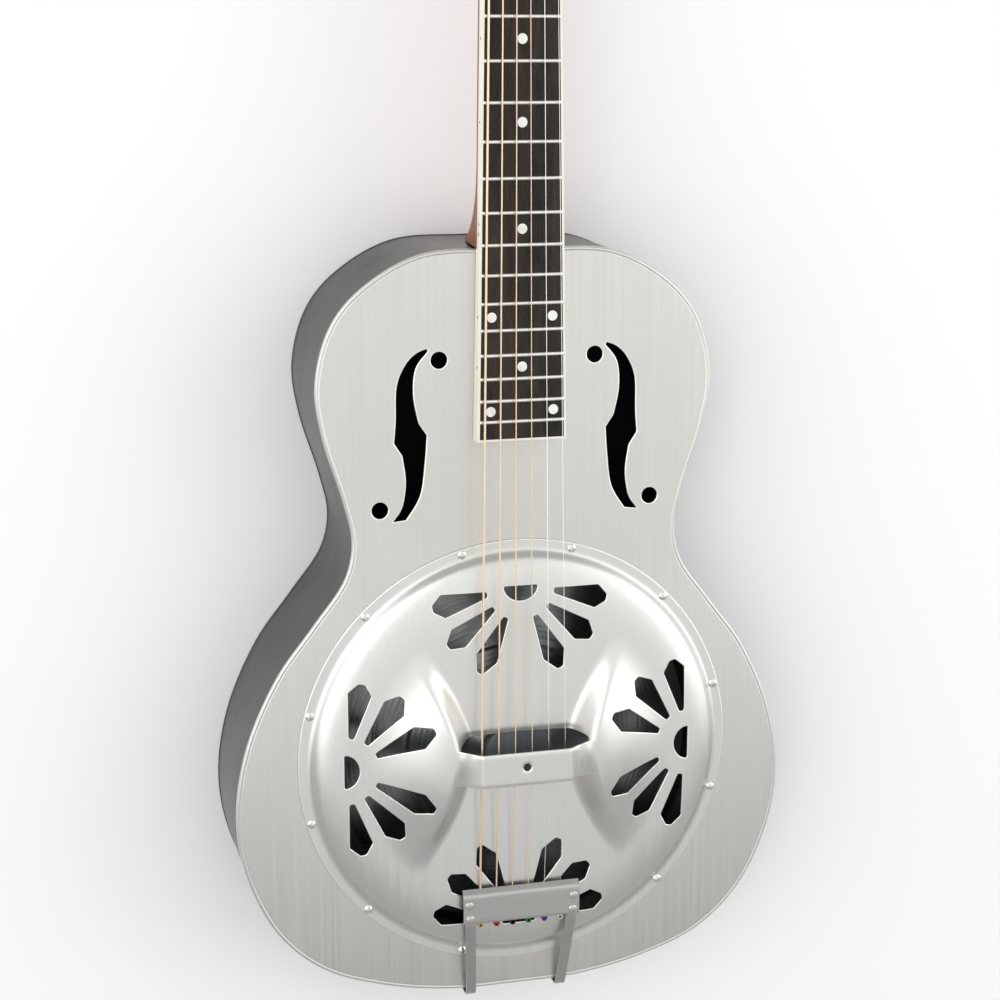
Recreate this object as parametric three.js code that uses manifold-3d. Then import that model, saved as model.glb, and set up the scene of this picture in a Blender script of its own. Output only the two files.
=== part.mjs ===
// Resonator guitar with a sheet-metal body, a single spun cone and a bolt-together neck stick.
// Millimetres, +Z up. The guitar lies on its flat back: the origin is on the back face, right
// under the centre of the cone, +Y points along the neck and +X to the treble side.
import * as THREE from 'three';
import { mergeVertices } from 'three/addons/utils/BufferGeometryUtils.js';
import Module from 'manifold-3d';

const wasm = await Module();
wasm.setup();

// ---- driving dimensions -------------------------------------------------------------------
const GAP = 0.3;                 // clearance between pieces that touch
const SHEET = 1;                 // body sheet metal
const BODY_DEPTH = 85;           // back face to top face
const TOP = BODY_DEPTH;          // height of the body's top face
const BODY_END = 317.5;          // neck end of the body
const TAIL_END = -158.5;         // tail end of the body

const SCALE = 635;               // saddle to nut, without compensation
const NUT_Y = 637.5;
const FRETS = 19;
const BOARD_END = 202.2;         // bound end of the fretboard over the body
const BOARD_THICK = 6;
const BOARD_AT_NUT = TOP + 3.4;  // height of the playing surface at the nut
const BOARD_SLOPE = 0.01753;     // rise of the playing surface towards the body
const BINDING = 1.6;
const FRET_HEIGHT = 1;
const HALF_WIDTH_AT_NUT = 21.5;
const HALF_WIDTH_AT_END = 27.9;

const COVER_RADIUS = 138.7;
const COVER_SHEET = 0.9;
const RISER_OUTER = 132.5;       // flat rim ends, raised edge begins
const RISER_INNER = 127;
const SCREW_CIRCLE = 135.3;
const COVER_SCREWS = 12;
const FAN_RADIUS = 111.2;        // centre of each fan of petals
const SADDLE_TOP = TOP + 19;
const NUT_TOP = TOP + 4.7;
const REST_TOP = TOP + 28.2;     // hand rest over the saddle
const HILL = 16.8;               // height of the two mounds that carry the hand rest

const WELL_RADIUS = 124;         // opening of the top and inside of the sound well
const LEDGE_Z = TOP - 26;        // where the cone's rim sits
const CONE_RADIUS = 120.5;
const CONE_TOP = TOP + 1.5;
const BISCUIT_RADIUS = 22.5;

const STICK_HALF = 17;           // neck stick inside the body
const STICK_BOTTOM = 22;
const STICK_TOP = 50;

const HEAD_TILT = THREE.MathUtils.degToRad(14);
const HEAD_LENGTH = 182;
const HEAD_THICK = 15;
const VENEER = 1.5;
const HEAD_Y = NUT_Y + 6.3;      // the headstock's face starts behind the nut

const GEAR_TEETH = 14;
const MODULE = 0.78;
const GEAR_PITCH = GEAR_TEETH * MODULE / 2;
const WORM_PITCH = 2.7;
const WORM_LEAD = Math.PI * MODULE;
const WORM_Y = GEAR_PITCH + WORM_PITCH;   // worm axis beside the post
const WORM_Z = -5.7;                      // worm axis behind the headstock
const POST_RADIUS = 3;

// string radius, and its distance from the centre line at the tailpiece, saddle and nut
const STRINGS = [
  { node: 'string_6_low_e', radius: 0.71, tail: -26.25, saddle: -27, nut: -18.5 },
  { node: 'string_5_a', radius: 0.53, tail: -15.75, saddle: -16.2, nut: -11.1 },
  { node: 'string_4_d', radius: 0.4, tail: -5.25, saddle: -5.4, nut: -3.7 },
  { node: 'string_3_g', radius: 0.31, tail: 5.25, saddle: 5.4, nut: 3.7 },
  { node: 'string_2_b', radius: 0.22, tail: 15.75, saddle: 16.2, nut: 11.1 },
  { node: 'string_1_high_e', radius: 0.17, tail: 26.25, saddle: 27, nut: 18.5 },
];

// tuner stations on the headstock face; a string runs to the post of the same row
const TUNERS = [
  { name: 'bass_1', side: -1, x: -24.5, y: 45 },
  { name: 'bass_2', side: -1, x: -22.5, y: 88 },
  { name: 'bass_3', side: -1, x: -20.5, y: 131 },
  { name: 'treble_3', side: 1, x: 20.5, y: 131 },
  { name: 'treble_2', side: 1, x: 22.5, y: 88 },
  { name: 'treble_1', side: 1, x: 24.5, y: 45 },
];

// ---- materials ----------------------------------------------------------------------------
const material = (color, roughness, metalness) =>
  new THREE.MeshStandardMaterial({ color, roughness, metalness });
const NICKEL = material(0xd6d8d4, 0.35, 1);
const BODY_METAL = material(0x9d9a98, 0.4, 1);
const ALUMINIUM = material(0xd9dadb, 0.45, 1);
const STEEL = material(0xb9bbbd, 0.3, 1);
const BRONZE = material(0xc49a6c, 0.35, 1);
const MAHOGANY = material(0x6d3a24, 0.45, 0);
const MAPLE = material(0xd9b98a, 0.55, 0);
const ROSEWOOD = material(0x2e2724, 0.55, 0);
const CREAM = material(0xefe6cf, 0.45, 0);
const BONE = material(0xf0ead8, 0.4, 0);
const BLACK = material(0x161515, 0.4, 0);

// ---- solids -------------------------------------------------------------------------------
const guitar = new THREE.Group();

function add(name, geometry, look, parent = guitar) {
  const mesh = new THREE.Mesh(geometry, look);
  mesh.name = name;
  parent.add(mesh);
  return mesh;
}

function solid(geometry) {
  const bare = geometry.clone();
  bare.deleteAttribute('normal');
  bare.deleteAttribute('uv');
  const merged = mergeVertices(bare, 1e-4);
  const triVerts = [];
  for (let i = 0; i < merged.index.count; i += 3) {
    const [a, b, c] = merged.index.array.slice(i, i + 3);
    if (a !== b && b !== c && c !== a) triVerts.push(a, b, c);
  }
  return new wasm.Manifold(new wasm.Mesh({
    numProp: 3,
    vertProperties: new Float32Array(merged.attributes.position.array),
    triVerts: new Uint32Array(triVerts),
  }));
}

function geometryOf(manifold) {
  const mesh = manifold.getMesh();
  const geometry = new THREE.BufferGeometry();
  const xyz = new Float32Array(mesh.vertProperties);
  geometry.setAttribute('position', new THREE.BufferAttribute(xyz, 3));
  geometry.setIndex(new THREE.BufferAttribute(new Uint32Array(mesh.triVerts), 1));
  return geometry;
}

const cut = (geometry, tools) =>
  geometryOf(tools.reduce((rest, tool) => rest.subtract(solid(tool)), solid(geometry)));
const join = (geometry, others) =>
  geometryOf(others.reduce((whole, other) => whole.add(solid(other)), solid(geometry)));

// moves every vertex of a geometry with a function of its position
function warp(geometry, move) {
  const position = geometry.attributes.position;
  const point = new THREE.Vector3();
  for (let i = 0; i < position.count; i += 1) {
    point.fromBufferAttribute(position, i);
    move(point);
    position.setXYZ(i, point.x, point.y, point.z);
  }
  return geometry;
}

function plate(shape, bottom, top) {
  const geometry = new THREE.ExtrudeGeometry(shape, {
    depth: top - bottom, bevelEnabled: false, steps: 1,
  });
  return geometry.translate(0, 0, bottom);
}

function block(x0, x1, y0, y1, z0, z1) {
  const geometry = new THREE.BoxGeometry(x1 - x0, y1 - y0, z1 - z0);
  return geometry.translate((x0 + x1) / 2, (y0 + y1) / 2, (z0 + z1) / 2);
}

// a solid of revolution about Z: the profile is a list of [radius, height]
function turned(profile, segments) {
  const points = profile.map(([radius, height]) => new THREE.Vector2(radius, height));
  const geometry = new THREE.LatheGeometry(points, segments);
  return geometry.rotateX(Math.PI / 2);
}

const rodZ = (radius, z0, z1, sides, x = 0, y = 0) =>
  turned([[0, z0], [radius, z0], [radius, z1], [0, z1]], sides).translate(x, y, 0);
const rodX = (radius, x0, x1, sides) =>
  rodZ(radius, x0, x1, sides).rotateY(Math.PI / 2);
const rodY = (radius, y0, y1, sides, x = 0, z = 0) =>
  rodZ(radius, y0, y1, sides).rotateX(-Math.PI / 2).translate(x, 0, z);

// every outline runs counter-clockwise, so that the extrusion turns its holes the other way
function outlineShape(vectors) {
  return new THREE.Shape(THREE.ShapeUtils.isClockWise(vectors) ? vectors.reverse() : vectors);
}

const polygon = (points) => outlineShape(points.map(([x, y]) => new THREE.Vector2(x, y)));

function circle(x, y, radius, sides) {
  const points = [];
  for (let i = 0; i < sides; i += 1) {
    const angle = 2 * Math.PI * i / sides;
    points.push([x + radius * Math.cos(angle), y + radius * Math.sin(angle)]);
  }
  return polygon(points);
}

const smooth = (t) => {
  const s = THREE.MathUtils.clamp(t, 0, 1);
  return s * s * (3 - 2 * s);
};

// ---- body ---------------------------------------------------------------------------------
// treble half of the outline, from the neck end to the tail
const OUTLINE = [
  [22, 317.5], [44, 317.4], [60, 315], [80, 306.5], [104.3, 288], [117.3, 268], [124.2, 237],
  [119.9, 206], [108.2, 168], [103, 142.5], [107.5, 120], [128, 91], [150.5, 60.5],
  [170.2, 16.3], [177.3, -28], [171.5, -67.5], [152.5, -108], [124, -134.5], [85, -149.8],
  [43, -157.6],
];
const OUTLINE_STEPS = 100;

function bodyOutline(inset) {
  const half = OUTLINE.map(([x, y]) => new THREE.Vector3(x, y, 0));
  const otherHalf = half.map((point) => new THREE.Vector3(-point.x, point.y, 0)).reverse();
  const ends = [new THREE.Vector3(0, BODY_END, 0), new THREE.Vector3(0, TAIL_END, 0)];
  const loop = [ends[0], ...half, ends[1], ...otherHalf];
  const curve = new THREE.CatmullRomCurve3(loop, true, 'centripetal');
  const points = [];
  for (let i = 0; i < OUTLINE_STEPS; i += 1) {
    const place = curve.getPointAt(i / OUTLINE_STEPS);
    const along = curve.getTangentAt(i / OUTLINE_STEPS);
    points.push(new THREE.Vector2(place.x + along.y * inset, place.y - along.x * inset));
  }
  return points;
}

// the sound hole on the treble side; the bass side is its mirror image
const F_OUTER = [[56.2, 258.4], [63, 255.5], [69.5, 248.5], [74.5, 236], [75.2, 215], [76.3, 202]];
const F_LOWER = [[71.3, 194.3], [69.2, 178], [71.5, 162.5], [77.3, 153.6]];
const F_RETURN = [[69.5, 154.6], [60.8, 169], [57.8, 189], [56.5, 206]];
const F_INNER = [[61.5, 213.4], [64.7, 230], [63.3, 246.6], [55.7, 257]];

function soundHole(side) {
  const points = [];
  for (const run of [F_OUTER, F_LOWER, F_RETURN, F_INNER]) {
    const knots = run.map(([x, y]) => new THREE.Vector2(side * x, y));
    points.push(...new THREE.SplineCurve(knots).getPoints(2 * (run.length - 1)));
  }
  return outlineShape(points);
}

const ROUND_HOLES = [[48.7, 251.4], [85.5, 161.2]];
const ROUND_HOLE_RADIUS = 5;

function bodyTop() {
  const shape = outlineShape(bodyOutline(0));
  shape.holes.push(circle(0, 0, WELL_RADIUS, 48));
  for (const side of [-1, 1]) {
    shape.holes.push(soundHole(side));
    for (const [x, y] of ROUND_HOLES) {
      shape.holes.push(circle(side * x, y, ROUND_HOLE_RADIUS, 10));
    }
  }
  return plate(shape, TOP - SHEET, TOP);
}

const BUTTON_Z = (STICK_BOTTOM + STICK_TOP) / 2;
const BUTTON_SHANK = 2.5;
const BUTTON_SHANK_LENGTH = 22;
const WALL_CUT = 5;              // how far a port's tool reaches past the wall

function bodySides() {
  const shape = outlineShape(bodyOutline(0));
  shape.holes.push(outlineShape(bodyOutline(SHEET)));
  const wall = plate(shape, SHEET + GAP, TOP - SHEET - GAP);
  const margin = STICK_HALF + GAP;
  const neckPort = block(-margin, margin, BODY_END - WALL_CUT, BODY_END + WALL_CUT,
    STICK_BOTTOM - GAP, STICK_TOP + GAP);
  const tailPort = rodY(BUTTON_SHANK + GAP, TAIL_END - WALL_CUT, TAIL_END + WALL_CUT, 10, 0,
    BUTTON_Z);
  return cut(wall, [neckPort, tailPort]);
}

const LEDGE_INNER = 112;
const WELL_FLANGE = 6;

function soundWell() {
  const outside = WELL_RADIUS + SHEET;
  const flange = outside + WELL_FLANGE;
  const top = TOP - SHEET - GAP;
  return turned([
    [LEDGE_INNER, LEDGE_Z - SHEET], [outside, LEDGE_Z - SHEET], [outside, top - SHEET],
    [flange, top - SHEET], [flange, top], [WELL_RADIUS, top], [WELL_RADIUS, LEDGE_Z],
    [LEDGE_INNER, LEDGE_Z], [LEDGE_INNER, LEDGE_Z - SHEET],
  ], 40);
}

function neckStick() {
  const stick = block(-STICK_HALF, STICK_HALF, TAIL_END + SHEET + GAP, BODY_END,
    STICK_BOTTOM, STICK_TOP);
  const bore = rodY(BUTTON_SHANK + GAP, TAIL_END, TAIL_END + BUTTON_SHANK_LENGTH + 4, 10, 0,
    BUTTON_Z);
  return cut(stick, [bore]);
}

add('body_top', bodyTop(), NICKEL);
add('body_sides', bodySides(), BODY_METAL);
add('body_back', plate(outlineShape(bodyOutline(0)), 0, SHEET), BODY_METAL);
add('sound_well', soundWell(), BODY_METAL);
add('neck_stick', neckStick(), MAHOGANY);

// ---- cone and bridge ----------------------------------------------------------------------
const SCREW_RADIUS = 1.9;
const SCREW_HOLE = SCREW_RADIUS + GAP;
const CONE_SHEET = 0.7;
const CONE_FLAT = 24;            // flat crown under the biscuit
const CONE_BEND = 66;            // the wall is steeper inside this radius
const CONE_BEND_HEIGHT = 12.2;
const CONE_RIM = 1.6;

function cone() {
  const foot = LEDGE_Z + GAP;
  const under = CONE_TOP - CONE_SHEET;
  return turned([
    [SCREW_HOLE, under], [CONE_FLAT, under], [CONE_BEND, foot + CONE_BEND_HEIGHT],
    [LEDGE_INNER, foot], [CONE_RADIUS, foot], [CONE_RADIUS, foot + CONE_RIM],
    [LEDGE_INNER + 1, foot + CONE_RIM], [CONE_BEND + 0.5, foot + CONE_BEND_HEIGHT + 1],
    [CONE_FLAT + 0.5, CONE_TOP], [SCREW_HOLE, CONE_TOP], [SCREW_HOLE, under],
  ], 32);
}

const BISCUIT_BOTTOM = CONE_TOP + GAP;
const BISCUIT_TOP = TOP + 8.5;
const SADDLE_HALF = 2;
const SADDLE_FOOT = BISCUIT_TOP - 2;

const SCREW_IN_BISCUIT = 3;

function biscuit() {
  const disc = rodZ(BISCUIT_RADIUS, BISCUIT_BOTTOM, BISCUIT_TOP, 32);
  const slot = block(-BISCUIT_RADIUS - 5, BISCUIT_RADIUS + 5, -SADDLE_HALF - GAP,
    SADDLE_HALF + GAP, SADDLE_FOOT - GAP, BISCUIT_TOP + 5);
  const bore = rodZ(SCREW_HOLE, BISCUIT_BOTTOM - 5, BISCUIT_BOTTOM + SCREW_IN_BISCUIT + 1, 8);
  return cut(disc, [slot, bore]);
}

const SADDLE_FOOT_HALF = 20;     // the part that sits in the biscuit's slot
const SADDLE_TOP_HALF = 30.5;

function saddle() {
  const shoulder = BISCUIT_TOP + 1;
  const wide = SADDLE_TOP_HALF + 1;
  const half = [
    [SADDLE_FOOT_HALF, SADDLE_FOOT], [SADDLE_FOOT_HALF, shoulder], [wide, shoulder],
    [SADDLE_TOP_HALF, SADDLE_TOP],
  ];
  const otherHalf = half.map(([x, z]) => [-x, z]).reverse();
  return plate(polygon([...half, ...otherHalf]), -SADDLE_HALF, SADDLE_HALF)
    .rotateX(Math.PI / 2);
}

const SCREW_HEAD_RADIUS = 4;
const SCREW_HEAD_FOOT = CONE_TOP - 3.5;
const SCREW_HEAD_TOP = CONE_TOP - CONE_SHEET - GAP;
const biscuitScrew = turned([
  [0, SCREW_HEAD_FOOT], [SCREW_HEAD_RADIUS, SCREW_HEAD_FOOT],
  [SCREW_HEAD_RADIUS, SCREW_HEAD_TOP], [SCREW_RADIUS, SCREW_HEAD_TOP],
  [SCREW_RADIUS, BISCUIT_BOTTOM + SCREW_IN_BISCUIT], [0, BISCUIT_BOTTOM + SCREW_IN_BISCUIT],
], 10);

add('cone', cone(), ALUMINIUM);
add('biscuit', biscuit(), MAPLE);
add('saddle', saddle(), ROSEWOOD);
add('biscuit_screw', biscuitScrew, STEEL);

// ---- coverplate ---------------------------------------------------------------------------
// height of the plain dome over the body's top, by radius from the outside in
const DOME = [[RISER_INNER, 5.4], [116, 8.6], [100, 10]];
const DOME_HEIGHT = 10.3;
const INNER_RINGS = [70, 56, 49, 43, 36, 14];

// the mounds at both sides of the strings fall away outwards and open in a curve along Y
function moundHeight(x, y) {
  const foot = 33 + 0.0065 * y * y;
  const crest = 42 + 0.0055 * y * y;
  const side = smooth((Math.abs(x) - foot) / (crest - foot));
  const fall = 1 - THREE.MathUtils.clamp((Math.hypot(x, y) - 44) / 46, 0, 1);
  return HILL * side * fall * fall;
}

function domeProfile() {
  const upper = [
    [COVER_RADIUS, GAP + COVER_SHEET], [RISER_OUTER, GAP + COVER_SHEET], ...DOME,
    ...INNER_RINGS.map((radius) => [radius, DOME_HEIGHT]),
  ];
  const lower = upper.map(([radius, height]) => [radius, height - COVER_SHEET]).reverse();
  return [...lower, ...upper, lower[0]].map(([radius, height]) => [radius, TOP + height]);
}

const turnedAbout = (x, y, angle) => [
  x * Math.cos(angle) - y * Math.sin(angle),
  x * Math.sin(angle) + y * Math.cos(angle),
];

// six long petals spread from each fan's centre: [angle from the inward direction, far end]
const PETALS = [[25.5, 60], [52, 58], [78.5, 56.5]];
const PETAL_NEAR = { at: 21.8, half: 1.6 };
const PETAL_WIDE = { at: 50, half: 7.2 };
const PETAL_FAR_HALF = 1.9;
const HALF_ROUND = { deep: 9.3, half: 10.75 };
const HALF_ROUND_STEPS = 10;

function petalOutline(far) {
  const half = [
    [PETAL_NEAR.at, PETAL_NEAR.half], [PETAL_WIDE.at, PETAL_WIDE.half], [far, PETAL_FAR_HALF],
  ];
  return [...half, ...half.map(([x, y]) => [x, -y]).reverse()];
}

function fanHoles(direction) {
  const shapes = [];
  for (const [degrees, far] of PETALS) {
    for (const side of [-1, 1]) {
      const angle = Math.PI + side * THREE.MathUtils.degToRad(degrees);
      shapes.push(petalOutline(far).map(([x, y]) => turnedAbout(x, y, angle)));
    }
  }
  const halfRound = [];
  for (let i = 0; i <= HALF_ROUND_STEPS; i += 1) {
    const angle = Math.PI / 2 + Math.PI * i / HALF_ROUND_STEPS;
    halfRound.push([HALF_ROUND.deep * Math.cos(angle), HALF_ROUND.half * Math.sin(angle)]);
  }
  shapes.push(halfRound);
  return shapes.map((points) => polygon(points.map(([x, y]) =>
    turnedAbout(x + FAN_RADIUS, y, direction))));
}

const SADDLE_PORT = { half: 41, front: 17, rear: -15 };
const COVER_SCREW_HOLE = 1.6;
const ABOVE_COVER = TOP + 40;    // cutting tools reach past the mounds

function coverplate() {
  const dome = warp(turned(domeProfile(), 48), (point) => {
    point.z += moundHeight(point.x, point.y);
  });
  const tools = [];
  for (let quarter = 0; quarter < 4; quarter += 1) {
    for (const hole of fanHoles(quarter * Math.PI / 2)) {
      tools.push(plate(hole, TOP, ABOVE_COVER));
    }
  }
  for (let i = 0; i < COVER_SCREWS; i += 1) {
    const angle = Math.PI * (2 * i + 1) / COVER_SCREWS;
    tools.push(rodZ(COVER_SCREW_HOLE, TOP - 2, TOP + 4, 6,
      SCREW_CIRCLE * Math.cos(angle), SCREW_CIRCLE * Math.sin(angle)));
  }
  tools.push(block(-SADDLE_PORT.half, SADDLE_PORT.half, SADDLE_PORT.rear, SADDLE_PORT.front,
    TOP, ABOVE_COVER));
  return cut(dome, tools);
}

const REST = { half: 44, front: 9.3, rear: -12, corner: 2.5 };
const REST_HOLE = { y: -0.3, radius: 2.55 };

function handRest() {
  const inner = REST.half - REST.corner;
  const half = [
    [inner, REST.rear], [REST.half, REST.rear + REST.corner],
    [REST.half, REST.front - REST.corner], [inner, REST.front],
  ];
  const bar = polygon([...half, ...half.map(([x, y]) => [-x, y]).reverse()]);
  bar.holes.push(circle(0, REST_HOLE.y, REST_HOLE.radius, 12));
  return plate(bar, REST_TOP - COVER_SHEET, REST_TOP);
}

add('coverplate', coverplate(), NICKEL);
add('hand_rest', handRest(), NICKEL);

// ---- neck ---------------------------------------------------------------------------------
const boardHeight = (y) => BOARD_AT_NUT + (NUT_Y - y) * BOARD_SLOPE;
const neckTop = (y) => boardHeight(y) - BOARD_THICK - GAP;
const halfWidth = (y) => HALF_WIDTH_AT_NUT
  + (HALF_WIDTH_AT_END - HALF_WIDTH_AT_NUT) * (NUT_Y - y) / (NUT_Y - BOARD_END);

const HEEL_LENGTH = 74;
const HEEL_DEPTH = 68;
const HEEL_CURVE = 3;            // how fast the heel dies out along the neck
const HEEL_TAPER = 0.2;          // the heel's foot is this much narrower than the neck
const HEEL_SQUARE = 0.4;         // how much fuller the heel's section is than the neck's
const NECK_DEPTH_AT_NUT = 17;
const NECK_DEPTH_GAIN = 0.006;   // for each millimetre towards the body
const NECK_START = BODY_END + GAP;

// a D-shaped bar: flat on top, round below, and grown into a heel at the body
function neckBar() {
  const section = [];
  for (let i = 0; i <= 12; i += 1) {
    const angle = Math.PI * i / 12;
    section.push([Math.cos(angle), -(Math.sin(angle) ** 0.8)]);
  }
  const bar = new THREE.ExtrudeGeometry(polygon(section), {
    depth: 1, bevelEnabled: false, steps: 18,
  });
  const end = HEAD_Y + 0.4;
  return warp(bar, (point) => {
    const t = point.z ** 1.7;
    const y = NECK_START + (end - NECK_START) * t;
    const heel = Math.max(0, 1 - (y - NECK_START) / HEEL_LENGTH);
    const plain = NECK_DEPTH_AT_NUT + NECK_DEPTH_GAIN * (NUT_Y - y);
    const depth = plain + (HEEL_DEPTH - NECK_DEPTH_AT_NUT) * heel ** HEEL_CURVE;
    const narrow = 1 - HEEL_TAPER * heel * Math.abs(point.y);
    const across = Math.sign(point.x) * Math.abs(point.x) ** (1 - HEEL_SQUARE * heel);
    point.set(-across * halfWidth(y) * narrow, y, neckTop(y) + point.y * depth);
  });
}

// treble half of the headstock, from the nut to the tip
const HEAD_HALF = [[21.4, -4], [21.9, 6], [28.5, 16], [36, 26], [36.5, 60], [34, 120], [32.5, 168]];

function headOutline(inset) {
  const half = HEAD_HALF.map(([x, y]) => [x - inset, Math.max(y, inset)]);
  const tip = [[22, HEAD_LENGTH - 3 - inset], [8, HEAD_LENGTH - inset]];
  const right = [...half, ...tip];
  const left = right.map(([x, y]) => [-x, y]).reverse();
  return [...right, ...left];
}

const headstock = new THREE.Group();
headstock.position.set(0, HEAD_Y, neckTop(HEAD_Y));
headstock.rotation.x = -HEAD_TILT;
headstock.updateMatrixWorld(true);
guitar.add(headstock);

const ROD_RADIUS = 2.4;
const ROD_DEPTH = 5;
const POCKET_HALF = 6;
const POCKET_END = 22;
const POST_HOLE = 5;

function neck() {
  const head = plate(polygon(headOutline(0)), -HEAD_THICK, 0);
  head.applyMatrix4(headstock.matrix);
  const tools = TUNERS.map((tuner) => {
    const hole = rodZ(POST_HOLE, -HEAD_THICK - 5, 5, 10, tuner.x, tuner.y);
    return hole.applyMatrix4(headstock.matrix);
  });
  const channel = block(-3, 3, -305, 12, -ROD_DEPTH - 4, 4);
  channel.rotateX(-BOARD_SLOPE).translate(0, NUT_Y, neckTop(NUT_Y));
  const pocket = block(-POCKET_HALF, POCKET_HALF, -2, POCKET_END, -10.5, 5);
  pocket.applyMatrix4(headstock.matrix);
  const above = block(-40, 40, NUT_Y - 2, HEAD_Y, 0, 20).translate(0, 0, neckTop(NUT_Y));
  return cut(join(neckBar(), [head]), [...tools, channel, pocket, above]);
}

function headVeneer() {
  const shape = polygon(headOutline(0.6));
  for (const tuner of TUNERS) {
    shape.holes.push(circle(tuner.x, tuner.y, POST_HOLE, 10));
  }
  const inner = POCKET_HALF;
  shape.holes.push(polygon([[-inner, 3], [inner, 3], [inner, POCKET_END], [-inner, POCKET_END]]));
  return plate(shape, GAP, GAP + VENEER);
}

function fretPlace(number) {
  return NUT_Y - SCALE * (1 - 2 ** (-number / 12));
}

// side view shared by the board and its binding: thick over the body, thin along the neck
function boardFoot(end) {
  const start = NUT_Y - GAP;
  return [
    [end, boardHeight(end)], [end, TOP + 0.5], [BODY_END, TOP + 0.5],
    [BODY_END, boardHeight(BODY_END) - BOARD_THICK], [start, boardHeight(start) - BOARD_THICK],
  ];
}

// side view of the board, with a low ridge for each fret, stretched to the neck's taper
function fretboard() {
  const boardStart = NUT_Y - GAP;
  const boardEnd = BOARD_END + BINDING + GAP;
  const side = [[boardStart, boardHeight(boardStart)]];
  for (let number = 1; number <= FRETS; number += 1) {
    const y = fretPlace(number);
    const z = boardHeight(y);
    side.push([y + 1.1, z], [y + 0.6, z + FRET_HEIGHT], [y - 0.6, z + FRET_HEIGHT], [y - 1.1, z]);
  }
  const board = plate(polygon([...side, ...boardFoot(boardEnd)]), -1, 1);
  return warp(board, (point) => {
    const [y, z, across] = [point.x, point.y, point.z];
    point.set(across * (halfWidth(y) - BINDING - GAP), y, z);
  });
}

// binding along both edges and across the body end
function fretboardBinding() {
  const start = NUT_Y - GAP;
  const profile = polygon([[start, boardHeight(start)], ...boardFoot(BOARD_END)]);
  const edge = (side) => warp(plate(profile, 0, BINDING), (point) => {
    const [y, z, across] = [point.x, point.y, point.z];
    const inner = side > 0 ? halfWidth(y) - BINDING : -halfWidth(y);
    point.set(inner + across, y, z);
  });
  const end = halfWidth(BOARD_END) - BINDING / 2;
  const across = block(-end, end, BOARD_END + 0.05, BOARD_END + BINDING, TOP + 0.55,
    boardHeight(BOARD_END + BINDING) - 0.05);
  return join(edge(1), [edge(-1), across]);
}

function nut() {
  return block(-HALF_WIDTH_AT_NUT, HALF_WIDTH_AT_NUT, NUT_Y, HEAD_Y - 0.6,
    neckTop(NUT_Y) + GAP, NUT_TOP);
}

const rodFrame = new THREE.Group();
rodFrame.position.set(0, NUT_Y, neckTop(NUT_Y) - ROD_DEPTH);
rodFrame.rotation.x = -BOARD_SLOPE;
guitar.add(rodFrame);
const ROD_NUT_START = 8;
const ROD_NUT_END = 18;

function trussRodNut() {
  const barrel = rodY(3.2, ROD_NUT_START, ROD_NUT_END, 8);
  const socket = rodY(2, ROD_NUT_END - 5, ROD_NUT_END + 2, 6);
  return cut(barrel, [socket]);
}

function trussRodCover() {
  const bell = polygon([
    [-8, 1.6], [8, 1.6], [10, 14], [9, 25], [3, 32], [-3, 32], [-9, 25], [-10, 14],
  ]);
  return plate(bell, 2 * GAP + VENEER, 2 * GAP + VENEER + 1.5);
}

add('neck', neck(), MAHOGANY);
add('headstock_veneer', headVeneer(), ROSEWOOD, headstock);
add('fretboard', fretboard(), ROSEWOOD);
add('fretboard_binding', fretboardBinding(), CREAM);
add('nut', nut(), BONE);
add('truss_rod', rodY(ROD_RADIUS, -300, ROD_NUT_START - GAP, 8), STEEL, rodFrame);
add('truss_rod_nut', trussRodNut(), STEEL, rodFrame);
add('truss_rod_cover', trussRodCover(), BLACK, headstock);

// ---- tailpiece ----------------------------------------------------------------------------
const TAIL_SHEET = 1.2;
const TAIL_PLATE_TOP = TOP + 17;
const TAIL_FRONT = -83.5;
const TAIL_REAR = -106.5;
const TAIL_HALF = 38;
const TAIL_REAR_HALF = 29;       // the rear flange stops short of the straps
const FRONT_FLANGE = 5.9;
const REAR_FLANGE = 6.5;
const STRING_AT_TAIL = TOP + 13.2;

const tailString = (string) => rodY(string.radius + GAP, -120, -70, 6, string.tail,
  STRING_AT_TAIL);

function tailpiecePlate() {
  const top = block(-TAIL_HALF, TAIL_HALF, TAIL_REAR, TAIL_FRONT,
    TAIL_PLATE_TOP - TAIL_SHEET, TAIL_PLATE_TOP);
  const front = block(-TAIL_HALF, TAIL_HALF, TAIL_FRONT - TAIL_SHEET, TAIL_FRONT,
    TAIL_PLATE_TOP - FRONT_FLANGE, TAIL_PLATE_TOP);
  const rear = block(-TAIL_REAR_HALF, TAIL_REAR_HALF, TAIL_REAR, TAIL_REAR + TAIL_SHEET,
    TAIL_PLATE_TOP - REAR_FLANGE, TAIL_PLATE_TOP);
  return cut(join(top, [front, rear]), STRINGS.map(tailString));
}

const BRACKET_FRONT = TAIL_END - GAP;
const BRACKET_THICK = 1.5;
const STRAP_WALL = BRACKET_FRONT - BRACKET_THICK - GAP;
const STRAP_HALF = 3.4;
const STRAP_START = -90;
const STRAP_AT_PLATE = 34.4;     // distance from the centre line
const STRAP_TAPER = 4.6;         // the straps come this much closer towards the tail

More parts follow.
